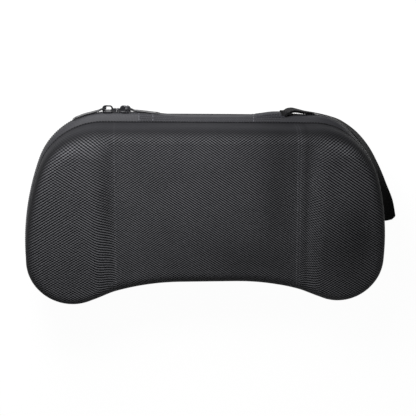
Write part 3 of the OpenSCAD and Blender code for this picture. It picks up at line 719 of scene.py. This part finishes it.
# A small bar along an axis, given by place, centre and two radii at each station
def barPiece(name, stations, sides, axis, material):
    a = np.linspace(0, 2 * math.pi, sides, endpoint=False)
    rows = []
    for at, centre, rx, ry in stations:
        ring = np.column_stack([centre[0] + rx * np.cos(a), centre[1] + ry * np.sin(a)])
        column = np.full(sides, at)
        rows.append(np.column_stack([ring, column] if axis == "z" else [column, ring]))
    return ringPiece(name, rows, [material])


zipLook = {"pitch": 1.9, "coilWidth": 0.84, "coilOut": 0.86, "overlap": 0.3, "rearStart": 0.5,
           "endStart": 0.9}


def coilItem(name, up):
    z = zipLook
    middle, tall, wide = z["coilOut"] / 2 - 0.1, z["coilOut"] / 2 + 0.05, z["coilWidth"] / 2
    low, high = -z["overlap"], zipShape["slit"] / 2 + zipShape["toothH"] - 0.1
    shape = ((low, 0.55, 0.1), (low + 0.25, 0.95, 0), (low + 0.9, 1, 0), (high - 1.1, 0.8, 0.08),
             (high - 0.3, 0.75, 0.12), (high, 0.4, 0.2))
    stations = [(up * h, (0, middle - back), wide * f, tall * f) for h, f, back in shape]
    return barPiece(name, stations, 8, "z", nylonCoil)


# The zip stops short of the hinge fabric on both sides
def zipPath(first, last):
    line = zipLine(0)[np.arange(first, last + 1) % pointCount]
    right, left = zipShape["hingeHalf"] + zipShape["bareRight"], -zipShape["hingeHalf"] - zipShape["bareLeft"]
    bare = (line[:, 1] > 0) & (line[:, 0] < right) & (line[:, 0] > left)
    line = line[~bare]
    if first == stripEnd:
        line = np.vstack([[right, zipTop], line])
    if last == leftStripEnd:
        line = np.vstack([line, [left, zipTop]])
    return atHeight(line, partZ)


def makeCoils():
    pitch, start = zipLook["pitch"], zipLook["rearStart"]
    lower, upper = coilItem("lowerCoilItem", -1), coilItem("upperCoilItem", 1)
    rear = repeated("rearZipCoil", zipPath(stripEnd, leftStripEnd), lower, pitch, start, nylonCoil)
    dress(rear, "rear_zip_teeth", "base")
    between = pitch / 2 + start  # the upper coils stand between the lower ones
    endLength = lengths(zipPath(stripEnd, softEnd))[-1]
    frontStart = pitch - (endLength - between) % pitch
    front = repeated("frontZipCoil", zipPath(softEnd, leftSoftEnd), upper, pitch, frontStart, nylonCoil)
    dress(front, "front_zip_teeth", "lid")
    for side, name, first, last, start in (
            (1, "rightEndCoil", stripEnd, softEnd, between),
            (-1, "leftEndCoil", leftSoftEnd, leftStripEnd, zipLook["endStart"])):
        piece = repeated(name, zipPath(first, last), upper, pitch, start, nylonCoil)
        dress(piece)
    for item in (lower, upper):
        bpy.data.objects.remove(item)


makeCoils()
print("zip coils made")

stitchLook = {"pitch": 2.4, "length": 1.7, "radius": 0.32, "out": 0.15, "lift": 0.1,
              "hingeRows": (-59.4, -48.0, 36.0)}


def stitchItem():
    half, r = stitchLook["length"] / 2, stitchLook["radius"]
    shape = ((-1, 0.4), (-0.8, 0.85), (-0.3, 1), (0.3, 1), (0.8, 0.85), (1, 0.4))
    return barPiece("stitchItem", [(half * t, (0, 0), r * f, r * f) for t, f in shape], 6, "x", sewingThread)


def stitchRow(name, line, body=None, closed=False, thread=sewingThread):
    piece = repeated(name, np.array(line), stitch, stitchLook["pitch"], 0.0, thread, closed)
    dress(piece, body=body)


def makeStitches():
    s = stitchLook
    for name, up, body in (("frontSeamStitches", 1, "lid"), ("rearSeamStitches", -1, "base")):
        z = partZ + up * (caseShape["seamHalf"] + s["lift"])
        stitchRow(name, atHeight(caseOutline(-s["out"]), z), body, closed=True)
    # Upright rows where the hinge fabric laps over the ends of the zip
    for number, x in enumerate(s["hingeRows"]):
        line = [(x, bandOut(x, z) + s["lift"] / 2, partZ + z) for z in np.linspace(-6.2, 6.2, 25)]
        stitchRow(f"hingeStitches{number + 1}", line, thread=hingeThread)


stitch = stitchItem()
makeStitches()
print("stitches made")

# Binding tape round the inner edge of each shell
bindingLook = {"round": 0.35, "gap": 0.3, "thickness": 1.2, "rise": 1.8, "around": 10}


def bindingPiece(name, node, up, body):
    c, z, look = caseShape, zipShape, bindingLook
    r, gap, t, low = look["round"], look["gap"], look["thickness"], c["seamHalf"]
    outer, wall = z["tuck"] + z["tapeT"] + gap, c["wall"] + gap
    inner, top, floor = wall + t, low + look["rise"], low - t
    corners = [(outer, low), (outer, floor + r), (outer + r, floor), (inner - r, floor), (inner, floor + r),
               (inner, top - r), (inner - r, top), (wall, top), (wall, low)]
    rings = np.array([atHeight(caseOutline(d), partZ + up * v) for d, v in corners])
    along = lengths(np.vstack([rings[0], rings[0][:1]]))
    across = np.append(lengths(np.array(corners)), look["around"])
    uv = np.stack(np.meshgrid(across, along, indexing="ij"), axis=-1)
    dress(ringPiece(name, rings, [bindingCloth], 60, uv, "joined"), node, body)


bindingPiece("rearBinding", "rear_binding", -1, "base")
bindingPiece("frontBinding", "front_binding", 1, "lid")

# Wrist strap: one length of webbing, out from its sewn end, round and back.
# Each stop of its route has its place on the zip's line, its share of the way out, its share of the fall
# to the table, and the way its width points.
strapLook = {
    "width": 14, "thickness": 0.9, "gap": 0.3, "stand": 15, "low": 2.2, "seat": 1.35, "steps": 9,
    "endRound": 7.0, "cup": (0.6, 2.2), "cupNarrow": 0.22, "cupDrop": 4.2,
    "tabLength": 20, "tabPast": 4.2, "tabHalf": 5.3, "tabStart": 0.2, "tabFull": 15,
}
strapRoute = [
    ((6.04, 0, 0), (0, 0, -1)), ((6.25, 0, 0), (0, 0, -1)), ((6.5, 0.03, 0.01), (0, 0, -1)),
    ((6.9, 0.075, 0.06), (0, -0.07, -1)), ((7.7, -0.1, 0.17), (0, -0.15, -0.98)),
    ((8.9, -0.23, 0.312), (0, -0.2, -0.97)), ((10.4, -0.27, 0.453), (0.05, -0.1, -1)),
    ((12, -0.2, 0.57), (0.1, 0.05, -1)), ((14, -0.06, 0.656), (0.2, 0.15, -0.97)),
    ((16, 0.083, 0.73), (0.38, 0.2, -0.9)), ((17.1, 0.269, 0.8), (0.62, 0.2, -0.76)),
    ((18.2, 0.49, 0.9), (0.88, 0.2, -0.43)), ((19.1, 0.78, 0.97), (0.96, 0.2, -0.15)),
    ((20.05, 0.99, 1), (0.97, 0.2, -0.05)),
]


def strapStations():
    s, line = strapLook, zipLine(0, coarseSteps, False)
    rows = []
    for (place, share, fall), width in strapRoute:
        k = int(place)
        step = line[k + 1] - line[k]
        along = step / np.linalg.norm(step)
        outward = (s["seat"] + share * s["stand"]) * np.array([-along[1], along[0]])
        rows.append([*(line[k] + step * (place - k) + outward), partZ + (s["low"] - partZ) * fall, *width])
    return np.array(rows)


# A smooth curve through the stations
def alongStations(stations, i):
    last = len(stations) - 1
    k = min(int(i), last - 1)
    t = i - k
    a, b, c, d = stations[max(0, k - 1)], stations[k], stations[k + 1], stations[min(last, k + 2)]
    bend, twist = 2 * a - 5 * b + 4 * c - d, 3 * b - a - 3 * c + d
    return 0.5 * (2 * b + (c - a) * t + bend * t ** 2 + twist * t ** 3)


# At its sewn end the webbing is squeezed narrower and cupped over the band, and its far corners are round
def webbingRing(stations, i, side, turn):
    s, last = strapLook, len(stations) - 1
    here = alongStations(stations, i)
    ahead = alongStations(stations, min(last, i + 0.1))[:3] - alongStations(stations, max(0, i - 0.1))[:3]
    ahead /= np.linalg.norm(ahead)
    across = here[3:] / np.linalg.norm(here[3:])
    normal = np.cross(ahead, across)
    normal /= np.linalg.norm(normal)
    out = normal * math.cos(math.radians(turn)) * side + ahead * math.sin(math.radians(turn))
    middle = here[:3] + out * (s["gap"] + s["thickness"]) / 2
    cup = 1 - float(smooth(*s["cup"], i))
    end = float(smooth(last - 0.5, last, i))
    half = (1 - s["cupNarrow"] * cup) * s["width"] / 2
    ring = []
    for a, b in flatRing(0.97, 0.9, 0.45):
        over = max(0, abs(a) - 0.42)
        down = np.array([0, cup * s["cupDrop"] * over * (1.2 - 0.3 * over), 0])
        corner = s["endRound"] * end * max(0.0, abs(a) - 0.35) ** 2
        ring.append(middle + across * a * half + out * b * s["thickness"] / 2 - down - ahead * corner)
    return ring


def makeStrap():
    stations = strapStations()
    last = len(stations) - 1
    there = [i / strapLook["steps"] for i in range(last * strapLook["steps"] + 1)]
    turns = [15, 30, 45, 60, 75, 90]
    route = [(i, 1, 0) for i in there] + [(last, 1, turn) for turn in turns]
    route += [(last, -1, turn) for turn in turns[-2::-1]] + [(i, -1, 0) for i in there[::-1]]
    rings = np.array([webbingRing(stations, *stop) for stop in route])
    piece = sweptPiece("wristStrap", rings, lengths(rings.mean(1)), 0.5, webbingCloth)
    dress(piece, "wrist_strap")


# The patch is thin where it's let into the fabric and full where the strap is sewn in
def tabThickness(x):
    s = strapLook
    grown = float(smooth(0, s["tabFull"], x - zipShape["hingeHalf"] + s["tabLength"]))
    return s["thickness"] * (s["tabStart"] + (1 - s["tabStart"]) * grown)


def tabSection(x):
    zs = np.linspace(-strapLook["tabHalf"], strapLook["tabHalf"], 15)
    inner = np.array([(bandOut(x, z) + 0.12, z) for z in zs])
    slope = np.gradient(inner, axis=0)
    slope /= np.linalg.norm(slope, axis=1)[:, None]
    outward = np.column_stack([slope[:, 1], -slope[:, 0]])
    thick = np.full(len(zs), tabThickness(x))
    thick[[0, -1]] *= 0.55
    ring = np.vstack([inner + outward * 0.05, (inner + outward * thick[:, None])[::-1]])
    return [(x, y, partZ + z) for y, z in ring]


def makeStrapTab():
    s, end = strapLook, zipShape["hingeHalf"]
    xs = np.linspace(end - s["tabLength"], end + s["tabPast"], 15)
    dress(sweptPiece("strapTab", [tabSection(x) for x in xs], xs, 1, patchCloth), "strap_tab")
    box = [(x, -4.2) for x in (42, 48, 53, 57)] + [(57, 0)] + [(x, 4.2) for x in (57, 53, 48, 42)] + [(42, 0)]
    stitchRow("tabStitches", [(x, bandOut(x, z) + tabThickness(x) * 0.95, partZ + z * 1.08) for x, z in box],
              closed=True)


makeStrap()
makeStrapTab()
print("wrist strap made")


# Rigid small parts are cut from prisms and get rounded edges
def prism(name, outline, low, high, axis="y", material=enamel):
    line = np.array(outline, float)
    rows = []
    for t in (low, high):
        fill = np.full(len(line), float(t))
        rows.append(np.column_stack([line[:, 0], fill, line[:, 1]] if axis == "y" else [line, fill]))
    return ringPiece(name, rows, [material])


def combine(piece, other, how="UNION"):
    modifier = piece.modifiers.new("combine", "BOOLEAN")
    modifier.operation, modifier.solver, modifier.object = how, "EXACT", other
    settle(piece)
    bpy.data.objects.remove(other)


def roundEdges(piece, width, segments=2, angle=35):
    modifier = piece.modifiers.new("round", "BEVEL")
    modifier.width, modifier.segments, modifier.limit_method = width / 1000, segments, "ANGLE"
    modifier.angle_limit = math.radians(angle)
    modifier.use_clamp_overlap = True
    settle(piece)
    piece.data.shade_smooth()
    piece.data.set_sharp_from_angle(angle=math.radians(50))


def roundedBox(x0, y0, x1, y1, r, steps=6):
    corners = ((x1 - r, y1 - r, 0, (x1 - r, y1)), (x0 + r, y1 - r, 90, (x0, y1 - r)),
               (x0 + r, y0 + r, 180, (x0 + r, y0)), (x1 - r, y0 + r, 270, (x1, y0 + r)))
    return np.vstack([np.vstack([arcPoints(x, y, r, a, a + 90, steps), [end]]) for x, y, a, end in corners])


def vertexPlaces(piece):
    return np.array([v.co[:] for v in piece.data.vertices]) * 1000


def cutAcross(piece, places):
    bm = bmesh.new()
    bm.from_mesh(piece.data)
    for x in places:
        geometry = bm.verts[:] + bm.edges[:] + bm.faces[:]
        bmesh.ops.bisect_plane(bm, geom=geometry, plane_co=(x / 1000, 0, 0), plane_no=(1, 0, 0))
    bm.to_mesh(piece.data)
    bm.free()


# The right slider and pull are the left ones turned to face them
def seat(piece, x, y, flip=False):
    if flip:
        piece.data.transform(Matrix.Diagonal((-1, 1, 1, 1)))
        piece.data.flip_normals()
    piece.data.transform(Matrix.Translation((x / 1000, y / 1000, partZ / 1000)))


# Sliders: a plate over the teeth and one under the tape, a bail on top, a nose and a lug in front
sliderLook = {
    "cornerX": 85.051, "gap": 14.3, "length": 9, "plateT": 0.65, "clear": 0.2, "flange": 0.45, "nose": 2.6,
    "bailH": 4.3, "bailTop": 1.1, "bailSide": 1.35, "bailW": 1.5, "bailRound": 2.85, "pivotX": 2,
    "pivotUp": 2.1, "left": {"holeEnd": 2.95, "wear": 0.15}, "right": {"holeEnd": 0.0, "wear": 0.42},
}
coverY = zipShape["toothOut"] + sliderLook["clear"]
coverHalf = zipShape["slit"] / 2 + zipShape["toothH"] + sliderLook["clear"] + sliderLook["flange"]
pivotY = coverY + sliderLook["plateT"] + sliderLook["pivotUp"]


def sliderPiece(name, node, x, flip, look):
    s = sliderLook
    h, nose, top = s["length"] / 2, s["nose"], coverY + s["plateT"]
    edge = [(-h, 1.6), (-h + 1.2, 3.2), (0.4, coverHalf), (h - 1.4, coverHalf), (h, coverHalf - 1.6),
            (h + nose, 1.7)]
    body = prism(name, [(x, -z) for x, z in edge] + edge[::-1], coverY, top)
    roundEdges(body, 0.45, 3)
    for up in (-1, 1):
        side = [(a * (h - 1.6), up * (coverHalf - b)) for a, b in ((-1, 0.55), (1, 0.55), (1, 0), (-1, 0))]
        combine(body, prism(name + "Side", side, s["clear"], coverY + 0.4))
    inner = zipShape["slit"] / 2 + zipShape["toothH"] - 0.1
    under = -zipShape["tapeT"] - s["clear"] - 0.1
    back = roundedBox(-h + 0.5, -inner, h - 0.5, inner, 0.8)
    combine(body, prism(name + "Back", back, under - s["plateT"], under))
    post = [(h - 2.4, -0.2), (h - 0.8, -0.2), (h - 0.8, 0.2), (h - 2.4, 0.2)]
    combine(body, prism(name + "Post", post, under - 0.2, coverY + 0.2))
    arch = roundedBox(-h - 0.1, top - 1.6, h - 0.1, top + s["bailH"], s["bailRound"], 10)
    arch = prism(name + "Bail", arch, -s["bailW"] / 2, s["bailW"] / 2, "z")
    hole = roundedBox(-h + s["bailSide"], top + 0.1, look["holeEnd"], top + s["bailH"] - s["bailTop"], 1.5, 8)
    combine(arch, prism(name + "Hole", hole, -s["bailW"], s["bailW"], "z"), "DIFFERENCE")
    roundEdges(arch, 0.35)
    combine(body, arch)
    lug = roundedBox(h - 0.2, top - 0.5, h + nose, top + 2.0, 0.8)
    combine(body, prism(name + "Lug", lug, -0.9, 0.9, "z"))
    # The enamel is rubbed off on top of the bail and on the lug
    spread = vertexPlaces(body)
    crown = smooth(top + 2.6, top + s["bailH"], spread[:, 1])
    tip = (spread[:, 0] > h) * smooth(top + 1.2, top + 2.0, spread[:, 1])
    paint(body, "rubbed", look["wear"] + 0.38 * crown + 0.7 * tip)
    seat(body, x, zipTop, flip)
    body.data.set_sharp_from_angle(angle=math.radians(40))
    dress(body, node, node)


# A pull hangs on its pivot and follows the zip: sag is how far its line drops at each distance from the pivot
pullLook = {
    "length": 27, "width": 5.4, "thickness": 0.95, "arm": 1.25, "tipHole": 1.1, "panelHalf": 1.5,
    "thinner": 0.45, "left": {"disc": 0.95, "rubbed": 0.35, "at": [0, 3, 6, 9, 12, 15, 18, 21, 24, 27, 28],
             "sag": [0, 1.4, 2.45, 3.35, 4.1, 4.85, 5.8, 6.95, 8.2, 9.7, 10.2]},
    "right": {"disc": 1.9, "rubbed": 0.5, "at": [0, 2.5, 6, 9, 12, 20, 27, 28],
              "sag": [0, 1.4, 2.2, 2.45, 2.6, 3.65, 4.3, 4.4]},
}


def pullPiece(name, node, x, flip, look):
    p, arm, thick, wide = pullLook, pullLook["arm"], pullLook["thickness"], pullLook["width"] / 2
    eye, eyeL, end = sliderLook["bailW"] / 2 + 0.35, sliderLook["length"] / 2 + 0.1, -pullLook["length"]
    half = np.vstack([
        [(0.55, eye + arm - 0.9), (0, eye + arm - 0.15), (-0.6, eye + arm), (-eyeL - 2, eye + arm - 0.4)],
        linePoints(-eyeL - 3.5, end * 0.6, wide - 0.2, 4), linePoints(end * 0.6, end + wide, wide, 5),
        arcPoints(end + wide, 0, wide, 90, 180, 8), [(end, 0)]])
    body = prism(name, np.vstack([half, half[-2::-1] * [1, -1]]), -thick / 2, thick / 2)
    panel = p["panelHalf"]
    for label, outline, low in (
            ("Slot", roundedBox(-eyeL, -eye, -thick / 2, eye, 0.8), -2),
            ("Tip", arcPoints(end + wide, 0, p["tipHole"], 0, 360, 20), -2),
            ("Panel", roundedBox(end + wide + 3, -panel, -eyeL - 2.2, panel, 1.2), thick / 2 - 0.2)):
        combine(body, prism(name + label, outline, low, 2), "DIFFERENCE")
    cutAcross(body, np.arange(end + 2, -eyeL, 1.6))
    for up in (-1, 1):
        disc = arcPoints(0, 0, look["disc"], 0, 360, 28)
        combine(body, prism(name + "Disc", disc, up * (eye + 0.1), up * (eye + arm - 0.15), "z"))
    roundEdges(body, 0.22)
    spread = vertexPlaces(body)
    paint(body, "rubbed", look["rubbed"] * smooth(-3, 0, spread[:, 0]) + 0.15)
    drop = np.interp(-spread[:, 0], look["at"], look["sag"])
    thinner = 1 - p["thinner"] * smooth(5, 12, -spread[:, 0])
    for vertex, down, thin in zip(body.data.vertices, drop, thinner):
        vertex.co.y = vertex.co.y * float(thin) - down / 1000
    seat(body, x, zipTop + pivotY, flip)
    dress(body, node, node)


leftX, rightX = -sliderLook["cornerX"], sliderLook["gap"] - sliderLook["cornerX"]
sliderPiece("sliderLeft", "slider_left", leftX, False, sliderLook["left"])
sliderPiece("sliderRight", "slider_right", rightX, True, sliderLook["right"])
pullPiece("pullLeft", "pull_left", leftX - sliderLook["pivotX"], False, pullLook["left"])
pullPiece("pullRight", "pull_right", rightX + sliderLook["pivotX"], True, pullLook["right"])
print("sliders made")

# Crimped stops at the ends of the zip: pinched metal clips
stopLook = {"wide": 1.4, "high": 0.8, "rubbed": 0.8}


def makeStops():
    s, z = stopLook, zipShape
    low = z["slit"] / 2 + z["toothH"]
    left, right = -z["hingeHalf"] - z["bareLeft"], z["hingeHalf"] + z["bareRight"] - s["wide"]
    for number, x in enumerate((left, right)):
        outline = roundedBox(x, -low, x + s["wide"], -z["slit"] / 2, 0.3, 3)
        clip = prism(f"zipStop{number + 1}", outline, zipTop, zipTop + s["high"])
        roundEdges(clip, 0.2)
        paint(clip, "rubbed", np.full(len(clip.data.vertices), s["rubbed"]))
        seat(clip, 0, 0)
        dress(clip, "zip_stops", "base")


makeStops()

# Tray of moulded foam with a pile lining
trayLook = {"top": 22.9, "recess": 15, "ledge": 22, "scoopR": 13, "scoopY": -6, "edge": 1.4, "gap": 0.3}


def makeTray():
    c, t = caseShape, trayLook
    straight, shellT = c["rearDepth"] - c["seamHalf"] - c["rearEdgeR"], c["wall"] + t["gap"]
    profile = wallProfile(straight, c["rearEdgeR"], shellT, 4, 0)
    heights = [(d, partZ - c["seamHalf"] - h) for d, h in profile[::-1] if h > 2.5]
    heights.append((shellT + 2.1 * math.tan(math.radians(c["draft"])), t["top"]))
    rings = [atHeight(caseOutline(d), z) for d, z in heights]
    body = ringPiece("consoleTray", rings, [liningCloth])
    cuts = [(caseOutline(t["ledge"]), t["top"] - t["recess"])]
    for side in (-1, 1):
        scoop = arcPoints(side * (c["halfWidth"] - t["ledge"]), t["scoopY"], t["scoopR"], 0, 360, 64)
        cuts.append((scoop, t["top"] - t["recess"] / 2))
    for outline, floor in cuts:
        combine(body, prism("cut", outline, floor, t["top"] + 5, "z", liningCloth), "DIFFERENCE")
    roundEdges(body, t["edge"], 3, 40)
    # The cloth's map lies flat over the tray
    layer = body.data.uv_layers.new(name="cloth")
    for loop in body.data.loops:
        co = body.data.vertices[loop.vertex_index].co * 1000
        layer.data[loop.index].uv = (co.x + 0.7 * co.z, co.y + 0.7 * co.z)
    dress(body, "console_tray", "base")


makeTray()

# Flat elastic over the console, and the catch that it goes through
elasticLook = {
    "width": 30, "thickness": 1.4, "far": 67.2, "near": -34, "sewn": 10, "catchFar": -55.5,
    "catchNear": -22, "lift": 1.4, "seat": 0.75, "catchSeat": 0.72,
    "elasticStitches": [(-12, 58.5), (12, 58.5), (12, 65.5), (-12, 65.5)],
    "catchStitches": [(-12, -53.5), (12, -53.5), (12, -47), (-12, -47)],
}


def elasticBand(name, node, path):
    e, path = elasticLook, np.array(path, float)
    tangent = np.gradient(path, axis=0)
    tangent /= np.linalg.norm(tangent, axis=1)[:, None]
    normal = np.column_stack([-tangent[:, 1], tangent[:, 0]]) * e["thickness"] / 2
    section = flatRing(0.98, 0.95, 0.5)
    rings = [[(a * e["width"] / 2, *(p + n * b)) for a, b in section] for p, n in zip(path, normal)]
    dress(sweptPiece(name, rings, lengths(path), 1, elasticCloth), node, "base")


def makeElastic():
    e, top = elasticLook, trayLook["top"]
    ys = np.linspace(e["far"], e["near"], 40)
    lift = e["lift"] * smooth(e["far"] - 1, e["far"] - e["sewn"] - 6, ys)
    elasticBand("holdDownStrap", "hold_down_strap", np.column_stack([ys, top + e["seat"] + lift]))
    catchYs = np.linspace(e["catchNear"], e["catchFar"], 12)
    elasticBand("strapCatch", "strap_catch", [(y, top + e["catchSeat"]) for y in catchYs])
    for name, up in (("elasticStitches", 1.5), ("catchStitches", 1.45)):
        stitchRow(name, [(x, y, top + up) for x, y in e[name]], "base", closed=True)


makeElastic()
print("tray and elastic made")

# Net pocket of the lid: a thin sheet across the lower part, gathered a little at its elastic hem
pocketLook = {
    "top": 30, "level": 41.8, "thickness": 0.8, "inset": 4.1, "sag": 0.15, "centre": (0, -20), "rings": 16,
    "hem": 5, "hemOver": 0.35, "pleat": 0.12, "pleatLength": 1.9, "hemAround": 6.24,
}


def halfWidthAt(y):
    line = caseOutline(pocketLook["inset"])
    half = line[:len(line) // 2 + 1]
    return max(x0 + (x1 - x0) * (y - y0) / (y1 - y0) for (x0, y0), (x1, y1) in zip(half[:-1], half[1:])
               if (y0 - y) * (y1 - y) <= 0 and y0 != y1)


def makePocket():
    p, centre = pocketLook, np.array(pocketLook["centre"], float)
    line, right = caseOutline(p["inset"]), halfWidthAt(p["top"])
    edge = linePoints(-right, right, p["top"], 39, True)
    closed = np.vstack([line[line[:, 1] < p["top"]], edge])
    closed = closed[np.argsort(np.arctan2(*(closed - centre).T[::-1]))]
    shares, rings = np.linspace(1, 0.03, p["rings"]), []
    for face, order in ((1, shares[::-1]), (0, shares)):
        for s in order:
            flat = centre + (closed - centre) * s
            z = p["level"] + face * p["thickness"] * 0.5 + 0.1 + p["sag"] * math.sin(math.pi * (1 - s) / 2)
            rings.append(atHeight(flat, z))
    rings = np.array(rings)
    piece = ringPiece("meshPocket", rings, [netCloth], 60, wrapUv(rings[..., :2]), "fan")
    dress(piece, "mesh_pocket", "lid")


def makeHem():
    p = pocketLook
    y0, z0 = p["top"], p["level"] - p["hemOver"]
    y1, z1 = y0 + p["hem"], p["level"] + p["thickness"] + p["hemOver"]
    section = [(y0 + 0.4, z0), (y0, z0 + 0.5), (y0, z1 - 0.5), (y0 + 0.4, z1), (y1 - 0.4, z1), (y1, z1 - 0.5),
               (y1, z0 + 0.5), (y1 - 0.4, z0)]
    right = halfWidthAt(y1)
    xs = np.linspace(-right, right, 160)
    rings = [[(x, y, z + p["pleat"] * math.sin(x / p["pleatLength"])) for y, z in section] for x in xs]
    dress(sweptPiece("pocketHem", rings, xs, p["hemAround"], elasticCloth), "pocket_hem", "lid")


makePocket()
makeHem()
bpy.data.objects.remove(stitch)
print("lid pocket made")

# Floor and backdrop: white to the camera and in reflections, and the floor still takes a soft shadow
stageLook = {"half": 3.0, "below": 0.0003, "white": "ffffff", "glow": 1.15, "shadowShare": 0.16,
             "worldLight": 0.07}


def makeStage():
    r, z = stageLook["half"], -stageLook["below"]
    mesh = bpy.data.meshes.new("floor")
    mesh.from_pydata([(-r, -r, z), (r, -r, z), (r, r, z), (-r, r, z)], [], [(0, 1, 2, 3)])
    material, add = newMaterial("whitePaperFloor")
    path = add("ShaderNodeLightPath").outputs
    rays = {0: path["Is Camera Ray"], 1: path["Is Glossy Ray"]}
    seen = add("ShaderNodeMath", {"operation": "MAXIMUM"}, rays)
    through = add("ShaderNodeMath", {"operation": "MAXIMUM"}, {0: seen, 1: path["Is Transmission Ray"]})
    share = add("ShaderNodeMath", {"operation": "MULTIPLY", 1: 1 - stageLook["shadowShare"]}, {0: through})
    paper = add("ShaderNodeBsdfDiffuse", {"Color": (0.8, 0.8, 0.8, 1)})
    glow = add("ShaderNodeEmission", {"Color": linear(stageLook["white"]), "Strength": stageLook["glow"]})
    mix = add("ShaderNodeMixShader", links={0: share, 1: paper, 2: glow})
    add("ShaderNodeOutputMaterial", links={"Surface": mix})
    mesh.materials.append(material)
    placed(bpy.data.objects.new("floor", mesh))


def makeWorld():
    world = bpy.data.worlds.new("studio")
    bpy.context.scene.world = world
    world.use_nodes = True
    world.node_tree.nodes.clear()
    add = functools.partial(addNode, world.node_tree)
    path = add("ShaderNodeLightPath").outputs
    rays = {0: path["Is Camera Ray"], 1: path["Is Transmission Ray"]}
    seen = add("ShaderNodeMath", {"operation": "MAXIMUM"}, rays)
    bright = add("ShaderNodeMapRange", {"To Min": stageLook["worldLight"], "To Max": 1.0}, {"Value": seen})
    back = add("ShaderNodeBackground", {"Color": (1, 1, 1, 1)}, {"Strength": bright})
    add("ShaderNodeOutputWorld", links={"Surface": back})


# Soft key lamp behind the sliders and a large fill from the front right, in metres and watts
lampLook = {
    "key": {"place": (-0.13, 0.3, 0.25), "size": 0.2, "power": 1.6, "aim": (-0.08, 0.07, 0.05)},
    "fill": {"place": (0.7, -0.9, 0.06), "size": 0.8, "power": 2.2, "aim": (0, 0, 0.03)},
}


def makeLamps():
    for name, look in lampLook.items():
        data = bpy.data.lights.new(name, "AREA")
        data.size, data.energy = look["size"], look["power"]
        lamp = placed(bpy.data.objects.new(name, data))
        lamp.location = look["place"]
        lamp.rotation_mode = "QUATERNION"
        lamp.rotation_quaternion = (Vector(look["aim"]) - Vector(look["place"])).to_track_quat("-Z", "Y")


# Camera above the hinge side, looking down on the front, as the photograph has it
cameraLook = {"tilt": 21.02, "yaw": -5.36, "roll": 1.7, "distance": 0.7, "lens": 69.4,
              "shift": (0.0011, -0.0085)}


def makeCamera():
    c = cameraLook
    tilt, yaw, roll = (math.radians(c[k]) for k in ("tilt", "yaw", "roll"))
    back = Vector((math.sin(yaw) * math.cos(tilt), math.sin(tilt), math.cos(yaw) * math.cos(tilt)))
    level = (-back).cross(Vector((0, 1, 0))).normalized()
    upright = level.cross(-back).normalized()
    right = level * math.cos(roll) + upright * math.sin(roll)
    up = upright * math.cos(roll) - level * math.sin(roll)
    data = bpy.data.cameras.new("camera")
    data.lens, data.sensor_width, data.clip_start, data.clip_end = c["lens"], 36, 0.01, 20
    data.shift_x, data.shift_y = c["shift"]
    camera = placed(bpy.data.objects.new("camera", data))
    turn = Matrix((right, up, back)).transposed().to_4x4()
    camera.matrix_world = Matrix.Translation(Vector((0, 0, partZ / 1000)) + back * c["distance"]) @ turn
    bpy.context.scene.camera = camera


makeStage()
makeWorld()
makeLamps()
makeCamera()
bpy.context.scene.view_settings.view_transform = "Standard"
print("stage, lamps and camera made")
